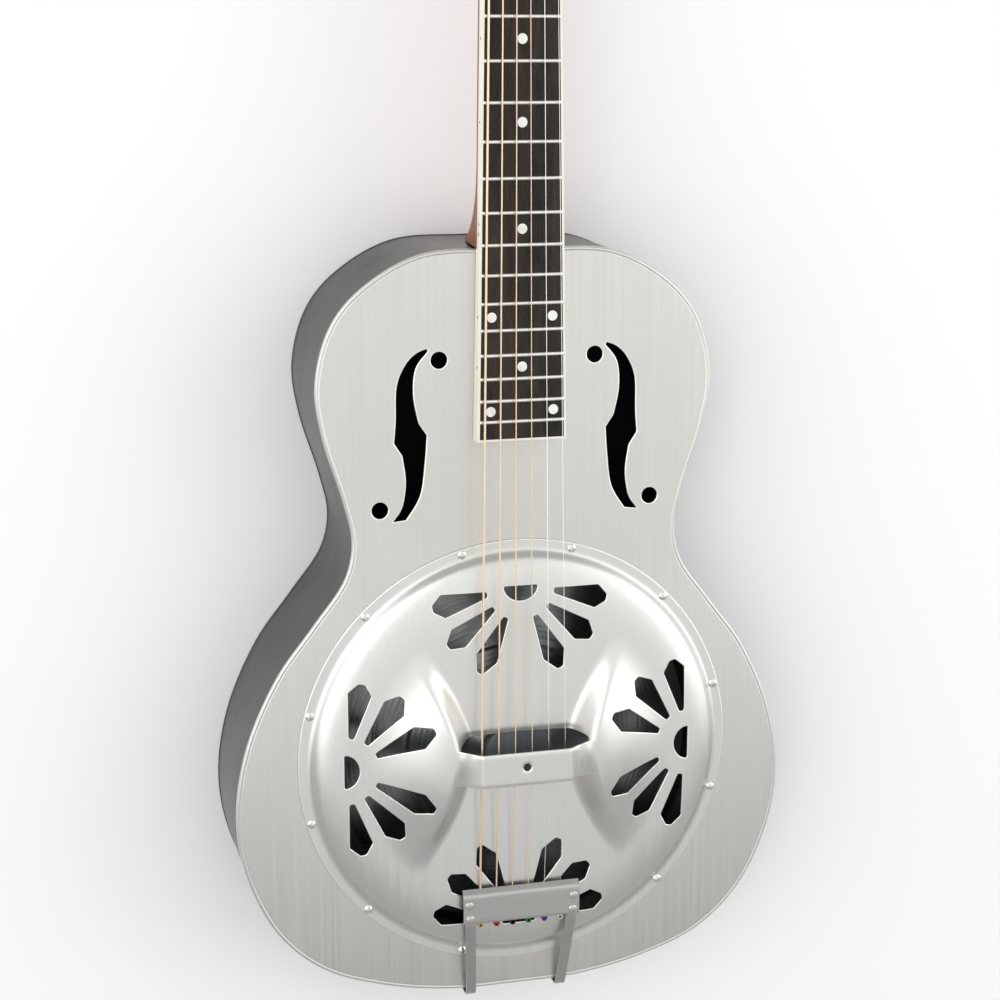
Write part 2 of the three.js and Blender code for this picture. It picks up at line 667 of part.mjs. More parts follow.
// side view of a strap: under the plate, down to the tail edge and over it
function tailpieceStrap(side) {
  const line = [
    [STRAP_START, 15], [-109, 15], [-156, 4.2], [STRAP_WALL - 0.6, 2.4],
    [STRAP_WALL - 0.6, -22],
  ];
  const half = TAIL_SHEET / 2;
  const upper = [
    [line[0][0], line[0][1] + half], [line[1][0], line[1][1] + half],
    [line[2][0], line[2][1] + half], [line[3][0] - half, line[3][1] + half],
    [line[4][0] - half, line[4][1]],
  ];
  const lower = [
    [line[4][0] + half, line[4][1]], [line[3][0] + half, line[3][1] - half],
    [line[2][0], line[2][1] - half], [line[1][0], line[1][1] - half],
    [line[0][0], line[0][1] - half],
  ];
  const strap = plate(polygon([...upper, ...lower]), -STRAP_HALF, STRAP_HALF);
  return warp(strap, (point) => {
    const [y, z, across] = [point.x, point.y, point.z];
    const share = (STRAP_START - y) / (STRAP_START - TAIL_END);
    const centre = STRAP_AT_PLATE - STRAP_TAPER * Math.min(1, share);
    point.set(side * centre + across, y, TOP + z);
  });
}

function tailpieceBracket() {
  const tee = polygon([
    [-36, TOP - 6], [-36, TOP - 24], [-11, TOP - 30], [-9, BUTTON_Z - 8], [9, BUTTON_Z - 8],
    [11, TOP - 30], [36, TOP - 24], [36, TOP - 6],
  ]);
  tee.holes.push(circle(0, BUTTON_Z, BUTTON_SHANK + GAP, 10));
  return plate(tee, 0, BRACKET_THICK).rotateX(Math.PI / 2).translate(0, BRACKET_FRONT, 0);
}

const BUTTON_BASE = STRAP_WALL;
const strapButton = turned([
  [0, -BUTTON_SHANK_LENGTH], [BUTTON_SHANK, -BUTTON_SHANK_LENGTH], [BUTTON_SHANK, 0], [6.5, 0],
  [6.5, 1.5], [4, 4], [4, 8], [7.5, 11], [7.5, 13], [0, 13],
], 16).rotateX(Math.PI / 2).translate(0, BUTTON_BASE, BUTTON_Z);

add('tailpiece_plate', tailpiecePlate(), NICKEL);
add('tailpiece_strap_bass', tailpieceStrap(-1), NICKEL);
add('tailpiece_strap_treble', tailpieceStrap(1), NICKEL);
add('tailpiece_bracket', tailpieceBracket(), NICKEL);
add('strap_button', strapButton, NICKEL);

// ---- tuning machines ----------------------------------------------------------------------
const BUSHING_TOP = 2 * GAP + VENEER + 1;
const POST_TOP = 12.5;
const WRAP_HEIGHT = 6.5;
const WRAP_RADIUS = 2.6;
const EAR_PLACES = [-6.5, 6.5];
const WORM_SHAFT = 1.3;
const GEAR_HALF = 2;
const BUTTON_REACH = 24;         // from the post to the middle of the button
const BUTTON_RADIUS = 8;
const BUTTON_OVAL = 0.85;
const BUTTON_THICK = 6;
const PLATE_HALF = 9;
const PLATE_ENDS = [-12, 14];

function tunerPlate() {
  const [low, high] = PLATE_ENDS;
  const outline = polygon([
    [-PLATE_HALF, low], [PLATE_HALF, low], [PLATE_HALF, high], [-PLATE_HALF, high],
  ]);
  outline.holes.push(circle(0, 0, POST_RADIUS + GAP, 8));
  const base = plate(outline, -GAP - 1.2, -GAP);
  const ears = EAR_PLACES.map((x) =>
    block(x - 0.6, x + 0.6, WORM_Y - 3.4, WORM_Y + 3.4, WORM_Z - 3, -GAP - 0.6));
  const bearing = rodX(WORM_SHAFT + GAP, -12, 12, 8).translate(0, WORM_Y, WORM_Z);
  return cut(join(base, ears), [bearing]);
}

const bushing = turned([
  [POST_RADIUS + GAP, -5], [POST_HOLE - GAP, -5], [POST_HOLE - GAP, GAP * 2 + VENEER],
  [6.2, GAP * 2 + VENEER], [5.6, BUSHING_TOP], [POST_RADIUS + GAP, BUSHING_TOP],
  [POST_RADIUS + GAP, -5],
], 10);

// the post is measured from the headstock's back face, HEAD_THICK under its front
function post() {
  const face = HEAD_THICK;
  const shaft = turned([
    [0, WORM_Z - GEAR_HALF - 1], [2, WORM_Z - GEAR_HALF - 1], [2, WORM_Z + GEAR_HALF + GAP],
    [POST_RADIUS, WORM_Z + GEAR_HALF + GAP], [POST_RADIUS, face + 4.5],
    [WRAP_RADIUS, face + WRAP_HEIGHT], [POST_RADIUS, face + 9.5], [POST_RADIUS, face + POST_TOP],
    [0, face + POST_TOP],
  ], 10);
  return cut(shaft, [rodX(0.9, -6, 6, 6).translate(0, 0, face + WRAP_HEIGHT)]);
}

// helical wheel: straight-sided teeth, twisted to the worm's lead
function gear() {
  const outline = [];
  for (let tooth = 0; tooth < GEAR_TEETH; tooth += 1) {
    const centre = 2 * Math.PI * (tooth + 0.5) / GEAR_TEETH + Math.PI / 2;
    for (const [radius, half] of [[4.5, -0.72], [6.05, -0.26], [6.05, 0.26], [4.5, 0.72]]) {
      const angle = centre + half / radius;
      outline.push([radius * Math.cos(angle), radius * Math.sin(angle)]);
    }
  }
  const shape = polygon(outline);
  shape.holes.push(circle(0, 0, 2 + GAP, 8));
  const twist = WORM_LEAD / (2 * Math.PI * WORM_PITCH * GEAR_PITCH);
  const wheel = warp(plate(shape, -GEAR_HALF, GEAR_HALF), (point) => {
    const [x, y] = turnedAbout(point.x, point.y, point.z * twist);
    point.set(x, y, point.z);
  });
  return wheel.translate(0, 0, WORM_Z);
}

// right-handed helix about X whose frames keep facing away from the axis
class Helix extends THREE.Curve {
  constructor(radius, lead, from, to) {
    super();
    Object.assign(this, { radius, lead, from, to });
  }

  angle(t) {
    return 2 * Math.PI * THREE.MathUtils.lerp(this.from, this.to, t) / this.lead + Math.PI;
  }

  getPoint(t) {
    const angle = this.angle(t);
    const x = THREE.MathUtils.lerp(this.from, this.to, t);
    return new THREE.Vector3(x, this.radius * Math.cos(angle), this.radius * Math.sin(angle));
  }

  getPointAt(t) {
    return this.getPoint(t);
  }

  computeFrenetFrames(steps) {
    const frames = { tangents: [], normals: [], binormals: [] };
    for (let i = 0; i <= steps; i += 1) {
      const angle = this.angle(i / steps);
      frames.tangents.push(new THREE.Vector3(0, -Math.sin(angle), Math.cos(angle)));
      frames.normals.push(new THREE.Vector3(0, Math.cos(angle), Math.sin(angle)));
      frames.binormals.push(new THREE.Vector3(-1, 0, 0));
    }
    return frames;
  }
}

function buttonSolid(side) {
  const oval = circle(0, 0, BUTTON_RADIUS, 12);
  const knob = plate(oval, -BUTTON_THICK / 2, BUTTON_THICK / 2).scale(BUTTON_OVAL, 1, 1);
  return knob.translate(side * BUTTON_REACH, 0, 0);
}

function worm(side) {
  const threadSection = polygon([[-1.2, -0.5], [0.65, -0.2], [0.65, 0.2], [-1.2, 0.5]]);
  const path = new Helix(WORM_PITCH, WORM_LEAD, -3.4, 3.4);
  const thread = new THREE.ExtrudeGeometry(threadSection, {
    extrudePath: path, steps: 20, bevelEnabled: false,
  });
  const core = rodX(1.75, -4.9, 4.9, 8);
  const outerEnd = side * (BUTTON_REACH - 4);
  const shaft = rodX(WORM_SHAFT, Math.min(-8.5, outerEnd), Math.max(8.5, outerEnd), 6);
  return join(core, [thread, shaft, buttonSolid(side)]);
}

for (const tuner of TUNERS) {
  const onFace = new THREE.Group();
  onFace.position.set(tuner.x, tuner.y, 0);
  headstock.add(onFace);
  const behind = new THREE.Group();
  behind.position.set(tuner.x, tuner.y, -HEAD_THICK);
  headstock.add(behind);
  add(`tuner_${tuner.name}_bushing`, bushing.clone(), NICKEL, onFace);
  add(`tuner_${tuner.name}_plate`, tunerPlate(), NICKEL, behind);
  add(`tuner_${tuner.name}_post`, post(), NICKEL, behind);
  add(`tuner_${tuner.name}_gear`, gear(), BRONZE, behind);
  const wormMesh = add(`tuner_${tuner.name}_worm`, worm(tuner.side), NICKEL, behind);
  wormMesh.position.set(0, WORM_Y, WORM_Z);
}

// ---- strings ------------------------------------------------------------------------------
// a string bends only where it is held, so the tube has one step for each straight run
class BentLine extends THREE.Curve {
  constructor(points) {
    super();
    this.points = points;
  }

  getPoint(t) {
    const place = t * (this.points.length - 1);
    const index = Math.min(Math.floor(place), this.points.length - 2);
    return this.points[index].clone().lerp(this.points[index + 1], place - index);
  }

  getPointAt(t) {
    return this.getPoint(t);
  }

  computeFrenetFrames(steps) {
    const frames = { tangents: [], normals: [], binormals: [] };
    for (let i = 0; i <= steps; i += 1) {
      const before = this.points[Math.max(i - 1, 0)];
      const after = this.points[Math.min(i + 1, steps)];
      const tangent = after.clone().sub(before).normalize();
      const binormal = new THREE.Vector3(1, 0, 0).cross(tangent).normalize();
      frames.tangents.push(tangent);
      frames.normals.push(tangent.clone().cross(binormal).negate());
      frames.binormals.push(binormal);
    }
    return frames;
  }
}

function stringTube(string, tuner) {
  const lift = string.radius + GAP;
  const reach = WRAP_RADIUS + 0.5 + string.radius + GAP;
  const onPost = new THREE.Vector3(tuner.x - tuner.side * reach, tuner.y, WRAP_HEIGHT);
  onPost.applyMatrix4(headstock.matrix);
  const points = [
    new THREE.Vector3(string.tail, -109.5, STRING_AT_TAIL),
    new THREE.Vector3(string.tail, TAIL_FRONT + 1, STRING_AT_TAIL),
    new THREE.Vector3(string.saddle, -SADDLE_HALF, SADDLE_TOP + lift),
    new THREE.Vector3(string.saddle, SADDLE_HALF, SADDLE_TOP + lift),
    new THREE.Vector3(string.nut, NUT_Y, NUT_TOP + lift),
    new THREE.Vector3(string.nut, HEAD_Y - 0.6, NUT_TOP + lift - 0.05),
    onPost,
  ];
  return new THREE.ExtrudeGeometry(circle(0, 0, string.radius, 8), {
    extrudePath: new BentLine(points), steps: points.length - 1, bevelEnabled: false,
  });
}

STRINGS.forEach((string, index) => {
  const look = index < 4 ? BRONZE : STEEL;
  add(string.node, stringTube(string, TUNERS[index]), look);
});

export default guitar;
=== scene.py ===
"""Looks of the resonator guitar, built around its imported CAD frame.

Lengths below are millimetres and become metres in mesh_object(). The frame is the CAD's: the
origin is on the back face under the centre of the cone, +Y runs along the neck, +Z is up.
"""

from functools import cache
from math import copysign, cos, exp, hypot, pi, radians, sin, sqrt

import bmesh
import bpy
import numpy as np
from mathutils import Matrix, Vector
from mathutils.geometry import delaunay_2d_cdt


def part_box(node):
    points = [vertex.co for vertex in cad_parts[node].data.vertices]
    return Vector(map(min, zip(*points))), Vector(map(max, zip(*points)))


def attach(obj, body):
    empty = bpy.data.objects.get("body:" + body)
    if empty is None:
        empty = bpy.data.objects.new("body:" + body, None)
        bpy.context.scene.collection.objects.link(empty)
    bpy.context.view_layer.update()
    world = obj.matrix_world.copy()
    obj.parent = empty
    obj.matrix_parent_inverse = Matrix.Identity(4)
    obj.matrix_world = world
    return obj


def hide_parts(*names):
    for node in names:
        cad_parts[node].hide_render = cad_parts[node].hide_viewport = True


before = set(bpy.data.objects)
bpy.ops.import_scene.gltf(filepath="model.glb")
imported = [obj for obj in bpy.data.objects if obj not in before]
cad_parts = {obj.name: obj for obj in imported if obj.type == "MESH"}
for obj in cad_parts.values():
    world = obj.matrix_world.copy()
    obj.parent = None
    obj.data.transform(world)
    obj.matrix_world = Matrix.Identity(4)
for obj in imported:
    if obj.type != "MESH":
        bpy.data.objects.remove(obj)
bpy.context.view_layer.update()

MM = 0.001


def low(node):
    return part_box(node)[0] / MM


def high(node):
    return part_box(node)[1] / MM


def at(*place):
    return Matrix.Translation(place)


def spin(angle, axis):
    return Matrix.Rotation(angle, 4, axis)


# ---- places taken from the CAD
TOP = high("body_top").z
BODY_END = high("body_sides").y
TAIL_END = low("body_sides").y
NUT_Y = low("nut").y
NUT_TOP = high("nut").z
BOARD_END = low("fretboard_binding").y
COVER_RADIUS = high("coverplate").x
REST_TOP = high("hand_rest").z
REST_FRONT = high("hand_rest").y
REST_REAR = low("hand_rest").y
SADDLE_TOP = high("saddle").z
SADDLE_HALF = high("saddle").y
CONE_TOP = high("cone").z
CONE_RADIUS = high("cone").x
CONE_FOOT = low("cone").z
WELL_TOP = high("sound_well").z
WELL_FOOT = low("sound_well").z
TAIL_TOP = high("tailpiece_plate").z
TAIL_REAR = low("tailpiece_plate").y
TAIL_FRONT = high("tailpiece_plate").y
TAIL_HALF = high("tailpiece_plate").x
STRAP_REAR = low("tailpiece_strap_bass").y
BRACKET_REAR = low("tailpiece_bracket").y

# ---- driving dimensions
SHEET = 1.0                      # thickness of the body's sheet metal
COVER_SHEET = 0.9
CONE_SHEET = 0.55
WELL = (112, 124, 125, 131)      # radii: ledge, wall inside and outside, flange
SCALE = 635.0
FRETS = 19
BOARD_THICK = 6.0
BOARD_AT_NUT = 3.4               # playing surface over the body's top
BOARD_SLOPE = 0.01753
BINDING = 1.6
GLUE = 0.3                       # stand-in gap between the neck, the board and the nut
HALF_WIDTHS = (21.5, 27.9)       # of the neck, at the nut and at the board's end
RISER = (131.8, 128.0)           # raised edge of the coverplate
FLANGE = 1.2                     # top of the coverplate's flat rim over the body
DOME_EDGE = 5.4
DOME = 10.3
FAN_RADIUS = 111.2
SCREW_CIRCLE = 135.3
HILL = 16.2
WALL = 16.5                      # width of the slope between the valley and a mound's crest
HEAD_TILT = radians(14)
HEAD_THICK = 15.0
NECK_DEPTH = 17.0                # at the nut, below the fretboard
HEEL_DEPTH = 51.0                # more than that at the body
HEEL_LENGTH = 74.0
VENEER_BASE = 0.3
VENEER = 1.5
BODY_INSET = 0.12                # keeps the smooth outline inside the CAD's faceted one
HEAD_Y = NUT_Y + 6.3

OUTLINE = [
    (22, 317.5), (44, 317.4), (60, 315), (80, 306.5), (104.3, 288), (117.3, 268), (124.2, 237),
    (119.9, 206), (108.2, 168), (103, 142.5), (107.5, 120), (128, 91), (150.5, 60.5),
    (170.2, 16.3), (177.3, -28), (171.5, -67.5), (152.5, -108), (124, -134.5), (85, -149.8),
    (43, -157.6),
]
SOUND_HOLE = [
    [(56.2, 258.4), (63, 255.5), (69.5, 248.5), (74.5, 236), (75.2, 215), (76.3, 202)],
    [(71.3, 194.3), (69.2, 178), (71.5, 162.5), (77.3, 153.6)],
    [(69.5, 154.6), (60.8, 169), (57.8, 189), (56.5, 206)],
    [(61.5, 213.4), (64.7, 230), (63.3, 246.6), (55.7, 257)],
]
ROUND_HOLES = [(48.7, 251.4), (85.5, 161.2)]
PETALS = [(25.5, 60), (52, 58), (78.5, 56.5)]     # degrees from inward, far end

# radius, distance from the centre line at the tailpiece, saddle and nut
STRINGS = {
    "string_6_low_e": (0.71, -26.25, -27.0, -18.5),
    "string_5_a": (0.53, -15.75, -16.2, -11.1),
    "string_4_d": (0.4, -5.25, -5.4, -3.7),
    "string_3_g": (0.31, 5.25, 5.4, 3.7),
    "string_2_b": (0.22, 15.75, 16.2, 11.1),
    "string_1_high_e": (0.17, 26.25, 27.0, 18.5),
}
THINNEST_WOUND = 0.25            # radius
# station on the headstock face
TUNERS = {
    "bass_1": (-24.5, 45), "bass_2": (-22.5, 88), "bass_3": (-20.5, 131),
    "treble_3": (20.5, 131), "treble_2": (22.5, 88), "treble_1": (24.5, 45),
}


def board_height(y):
    return TOP + BOARD_AT_NUT + (NUT_Y - y) * BOARD_SLOPE


def neck_top(y):
    return board_height(y) - BOARD_THICK - GLUE


def half_width(y):
    near, far = HALF_WIDTHS
    return near + (far - near) * (NUT_Y - y) / (NUT_Y - BOARD_END)


def fret_place(number):
    return NUT_Y - SCALE * (1 - 2 ** (-number / 12))


HEAD = at(0, HEAD_Y, neck_top(HEAD_Y)) @ spin(-HEAD_TILT, "X")
UPRIGHT = spin(pi / 2, "X")


# ---- camera
LENS = 74.81
CAMERA_PLACE = (-0.33138, 0.4556, 1.27782)       # metres
CAMERA_FORWARD = (0.25265, -0.23002, -0.93982)
CAMERA_UP = (0.05641, 0.97318, -0.22302)


def make_camera():
    data = bpy.data.cameras.new("camera")
    data.sensor_width = 36
    data.lens = LENS
    camera = bpy.data.objects.new("camera", data)
    bpy.context.scene.collection.objects.link(camera)
    forward = Vector(CAMERA_FORWARD).normalized()
    right = forward.cross(Vector(CAMERA_UP)).normalized()
    turn = Matrix((right, right.cross(forward), -forward)).transposed().to_4x4()
    camera.matrix_world = at(*CAMERA_PLACE) @ turn
    bpy.context.scene.camera = camera


make_camera()


# ---- curves
def spline(knots, steps, closed=False, power=0.0):
    """Catmull-Rom points through the knots; power 0 is uniform and 0.5 centripetal."""
    count = len(knots)
    points = [np.array(k, float) for k in knots]
    found = []
    for i in range(count if closed else count - 1):
        if closed:
            p0, p1, p2, p3 = (points[(i + k) % count] for k in (-1, 0, 1, 2))
        else:
            p0, p1 = points[max(i - 1, 0)], points[i]
            p2, p3 = points[i + 1], points[min(i + 2, count - 1)]
        d0, d1, d2 = (max(np.linalg.norm(b - a), 1e-6) ** power for a, b in ((p0, p1), (p1, p2), (p2, p3)))
        m1 = ((p1 - p0) / d0 - (p2 - p0) / (d0 + d1) + (p2 - p1) / d1) * d1
        m2 = ((p2 - p1) / d1 - (p3 - p1) / (d1 + d2) + (p3 - p2) / d2) * d1
        for k in range(steps):
            t = k / steps
            found.append((2 * t**3 - 3 * t**2 + 1) * p1 + (t**3 - 2 * t**2 + t) * m1
                         + (3 * t**2 - 2 * t**3) * p2 + (t**3 - t**2) * m2)
    if not closed:
        found.append(points[-1])
    return np.array(found)


def resample(points, count, closed=True):
    """The same line with evenly spaced points."""
    line = np.vstack([points, points[:1]]) if closed else np.asarray(points, float)
    along = np.concatenate([[0], np.cumsum(np.linalg.norm(np.diff(line, axis=0), axis=1))])
    places = np.linspace(0, along[-1], count + 1)[:-1] if closed else np.linspace(0, along[-1], count)
    return np.stack([np.interp(places, along, line[:, k]) for k in range(line.shape[1])], 1)


def ccw(points):
    points = np.asarray(points, float)
    x, y = points[:, 0], points[:, 1]
    area = np.sum(x * np.roll(y, -1) - np.roll(x, -1) * y)
    return points[::-1].copy() if area < 0 else points


def offset(points, distance):
    """A counter-clockwise loop moved inwards, or outwards by a negative distance."""
    before = points - np.roll(points, 1, axis=0)
    after = np.roll(points, -1, axis=0) - points
    before /= np.linalg.norm(before, axis=1)[:, None]
    after /= np.linalg.norm(after, axis=1)[:, None]
    middle = before + after
    middle /= np.linalg.norm(middle, axis=1)[:, None]
    reach = np.clip(1 / np.maximum(np.sum(middle * after, axis=1), 0.5), 1, 1.6)
    inwards = np.stack([-middle[:, 1], middle[:, 0]], 1)
    return points + inwards * (distance * reach)[:, None]


def fillet(points, radius, steps=5, share=0.48):
    """An open line with its corners rounded."""
    points = [np.array(p, float) for p in points]
    found = [points[0]]
    for before, corner, after in zip(points, points[1:], points[2:]):
        a, b = before - corner, after - corner
        la, lb = np.linalg.norm(a), np.linalg.norm(b)
        reach = min(radius, share * la, share * lb)
        start, end = corner + a / la * reach, corner + b / lb * reach
        for t in (k / steps for k in range(steps + 1)):
            found.append((1 - t) ** 2 * start + 2 * t * (1 - t) * corner + t * t * end)
    return found + [points[-1]]


def rounded(points, radius, steps=4):
    """A polygon with its corners rounded."""
    points = ccw(points)
    return np.array(fillet([points[-1], *points, points[0]], radius, steps, 0.45)[1:-1])


def circle(x, y, radius, sides):
    angle = np.arange(sides) * 2 * pi / sides
    return np.stack([x + radius * np.cos(angle), y + radius * np.sin(angle)], 1)


def mirrored(half):
    """Closes a line from the centre line round one side with its mirror image."""
    return [*half, *((-x, y) for x, y in half[-2:0:-1])]


def turned_about(points, angle):
    c, s = cos(angle), sin(angle)
    return np.asarray(points, float) @ np.array([[c, s], [-s, c]])


def smooth(t):
    t = min(max(t, 0.0), 1.0)
    return t * t * (3 - 2 * t)


def ramp(t, bend=0.3):
    """From 0 to 1 on an even slope, with a bend of this share at each end."""
    t = min(max(t, 0.0), 1.0)
    if t > 0.5:
        return 1 - ramp(1 - t, bend)
    rise = t * t / (2 * bend) if t < bend else t - bend / 2
    return rise / (1 - bend)


# ---- meshes
class Shape:
    """Vertices in millimetres and faces, gathered from several closed solids."""

    def __init__(self):
        self.verts = []
        self.faces = []
        self.looks = []

    def add(self, solid, place=None):
        verts, faces, *looks = solid
        base = len(self.verts)
        if place is not None:
            verts = [place @ Vector(v) for v in verts]
        self.verts.extend(verts)
        self.faces.extend([i + base for i in face] for face in faces)
        self.looks.extend(looks[0] if looks else [0] * len(faces))
        return self


def shape_of(solid, place=None):
    return Shape().add(solid, place)


def mesh_object(name, shape, sharp=35.0):
    mesh = bpy.data.meshes.new(name)
    mesh.from_pydata([tuple(c * MM for c in v) for v in shape.verts], [], shape.faces)
    mesh.polygons.foreach_set("material_index", shape.looks)
    work = bmesh.new()
    work.from_mesh(mesh)
    bmesh.ops.remove_doubles(work, verts=work.verts, dist=1e-7)
    bmesh.ops.recalc_face_normals(work, faces=work.faces)
    work.to_mesh(mesh)
    work.free()
    mesh.shade_smooth()
    mesh.set_sharp_from_angle(angle=radians(sharp))
    piece = bpy.data.objects.new(name, mesh)
    bpy.context.scene.collection.objects.link(piece)
    return piece


def loft(rings, closed=False):
    """Quads between loops of equally many points; the ends are capped unless it is closed."""
    size = len(rings[0])
    verts = [tuple(v) for ring in rings for v in ring]
    faces = []
    for j in range(len(rings) if closed else len(rings) - 1):
        a, b = j * size, (j + 1) % len(rings) * size
        faces += [[a + i, a + (i + 1) % size, b + (i + 1) % size, b + i] for i in range(size)]
    if not closed:
        faces += [list(range(start, start + size)) for start in (0, len(verts) - size)]
    return verts, faces


def angles(count):
    return [2 * pi * i / count for i in range(count)]


def lathe(profile, segments, closed=False):
    """Solid of revolution about Z from (radius, height) pairs; an open one starts and ends on
    the axis."""
    if not closed:
        profile = [(0, profile[0][1]), *profile, (0, profile[-1][1])]
    rings = [[(r * cos(a), r * sin(a), z) for a in angles(segments)] for r, z in profile]
    verts, faces = loft(rings, closed)
    return verts, faces if closed else faces[:-2]


def tube(points, radius, sides=12):
    """A round bar along a line of points."""
    points = [Vector(p) for p in points]
    normal, rings = None, []
    for i, point in enumerate(points):
        ahead = points[min(i + 1, len(points) - 1)] - points[max(i - 1, 0)]
        ahead.normalize()
        normal = normal or ahead.orthogonal()
        normal = (normal - ahead * normal.dot(ahead)).normalized()
        other = ahead.cross(normal)
        rings.append([point + (normal * cos(a) + other * sin(a)) * radius for a in angles(sides)])
    return loft(rings)


def plate(outline, bottom, top, edge=0.3, steps=2):
    """A flat plate with rounded edges."""
    outline = ccw(outline)
    rings = []
    for level, sign in ((bottom, 1), (top, -1)):
        part = [(edge + 0.15, level)]
        for k in range(steps + 1):
            a = pi / 2 * k / steps
            part.append((edge * (1 - sin(a)), level + sign * edge * (1 - cos(a))))
        rings += part if sign > 0 else part[::-1]
    return loft([[(x, y, z) for x, y in offset(outline, inset)] for inset, z in rings])


def inside(points, loops):
    """Which points lie inside an odd number of loops."""
    odd = np.zeros(len(points), bool)
    x, y = points[:, :1], points[:, 1:]
    for loop in loops:
        x0, y0 = loop.T
        x1, y1 = np.roll(loop, -1, axis=0).T
        rise = np.where(np.abs(y1 - y0) < 1e-12, 1e-12, y1 - y0)
        hit = ((y0 > y) != (y1 > y)) & (x < (x1 - x0) * (y - y0) / rise + x0)
        odd ^= hit.sum(1) % 2 == 1
    return odd


def triangulate(loops, free, clear):
    """Triangles over the region between loops, with free points kept clear of the loops."""
    edge = np.vstack(loops)
    free = np.reshape(free, (-1, 2))
    free = free[inside(free, loops)]
    gap = np.full(len(free), 1e9)
    for part in range(0, len(edge), 400):
        d = free[:, None, :] - edge[None, part:part + 400, :]
        gap = np.minimum(gap, (d * d).sum(2).min(1))
    points = np.vstack([edge, free[gap > clear * clear]])
    edges, start = [], 0
    for loop in loops:
        size = len(loop)
        edges += [(start + i, start + (i + 1) % size) for i in range(size)]
        start += size
    out = delaunay_2d_cdt([Vector(p) for p in points], edges, [], 0, 1e-7)
    index = [origins[0] if origins else -1 for origins in out[3]]
    faces = np.array([[index[i] for i in face] for face in out[2]])
    faces = faces[(faces >= 0).all(1)]
    faces = faces[inside(points[faces].mean(1), loops)]
    return points, faces


def lip(radius, thickness, steps=3):
    """Rings of a rounded upper edge: (inset into the sheet, height against its top)."""
    rings = [(radius + 0.25, 0.0)]
    for k in range(steps + 1):
        a = pi / 2 * k / steps
        rings.append((radius * (1 - sin(a)), -radius * (1 - cos(a))))
    return rings + [(0.0, -thickness), (radius + 0.25, -thickness)]


def sheet(outer, holes, height, free=(), clear=0.8):
    """A sheet over a height field. outer and each hole are (loop, rings); the rings run from the
    top surface round the edge to the underside, and their first and last insets are equal.
    Faces of the rims have look 1."""
    bounds = [(ccw(outer[0]), outer[1], 1)] + [(ccw(loop), rings, -1) for loop, rings in holes]
    verts, faces, first, last = [], [], [], []
    for loop, rings, side in bounds:
        size = len(loop)
        start = len(verts)
        for inset, drop in rings:
            line = offset(loop, side * inset)
            verts += [(x, y, height(x, y) + drop) for x, y in line]
        for j in range(len(rings) - 1):
            a, b = start + j * size, start + (j + 1) * size
            faces += [[a + i, a + (i + 1) % size, b + (i + 1) % size, b + i] for i in range(size)]
        first.append((offset(loop, side * rings[0][0]), start))
        last.append(start + (len(rings) - 1) * size)
    rim = len(faces)
    points, triangles = triangulate([f[0] for f in first], free, clear)
    top_index, under_index = [], []
    for (loop, start), end in zip(first, last):
        top_index += range(start, start + len(loop))
        under_index += range(end, end + len(loop))
    drop = bounds[0][1][-1][1]
    for x, y in points[len(top_index):]:
        z = height(x, y)
        top_index.append(len(verts))
        verts.append((x, y, z))
        under_index.append(len(verts))
        verts.append((x, y, z + drop))
    for a, b, c in triangles:
        faces.append([top_index[a], top_index[b], top_index[c]])
        faces.append([under_index[c], under_index[b], under_index[a]])
    return verts, faces, [1] * rim + [0] * (len(faces) - rim)


def bent(profile, stations, thickness, keep):
    """A bent sheet: the profile's (y, z) points repeated at each x, thickened downwards."""
    line = np.array(profile, float)
    ahead = np.gradient(line, axis=0)
    ahead /= np.linalg.norm(ahead, axis=1)[:, None]
    under = line + np.stack([ahead[:, 1], -ahead[:, 0]], 1) * thickness
    size = len(line)
    verts = [(x, y, z) for side in (line, under) for x in stations for y, z in side]
    base = len(verts) // 2
    cells = {(i, j) for i in range(len(stations) - 1) for j in range(size - 1)
             if keep((stations[i] + stations[i + 1]) / 2, *(line[j] + line[j + 1]) / 2)}
    faces = []
    for i, j in sorted(cells):
        a, b = i * size + j, (i + 1) * size + j
        c, d = b + 1, a + 1
        faces.append([a, b, c, d])
        faces.append([base + d, base + c, base + b, base + a])
        for other, e, f in (((i - 1, j), a, d), ((i + 1, j), b, c), ((i, j - 1), a, b), ((i, j + 1), d, c)):
            if other not in cells:
                faces.append([e, f, base + f, base + e])
    used = sorted({i for face in faces for i in face})
    renumber = {old: new for new, old in enumerate(used)}
    return [verts[i] for i in used], [[renumber[i] for i in face] for face in faces]


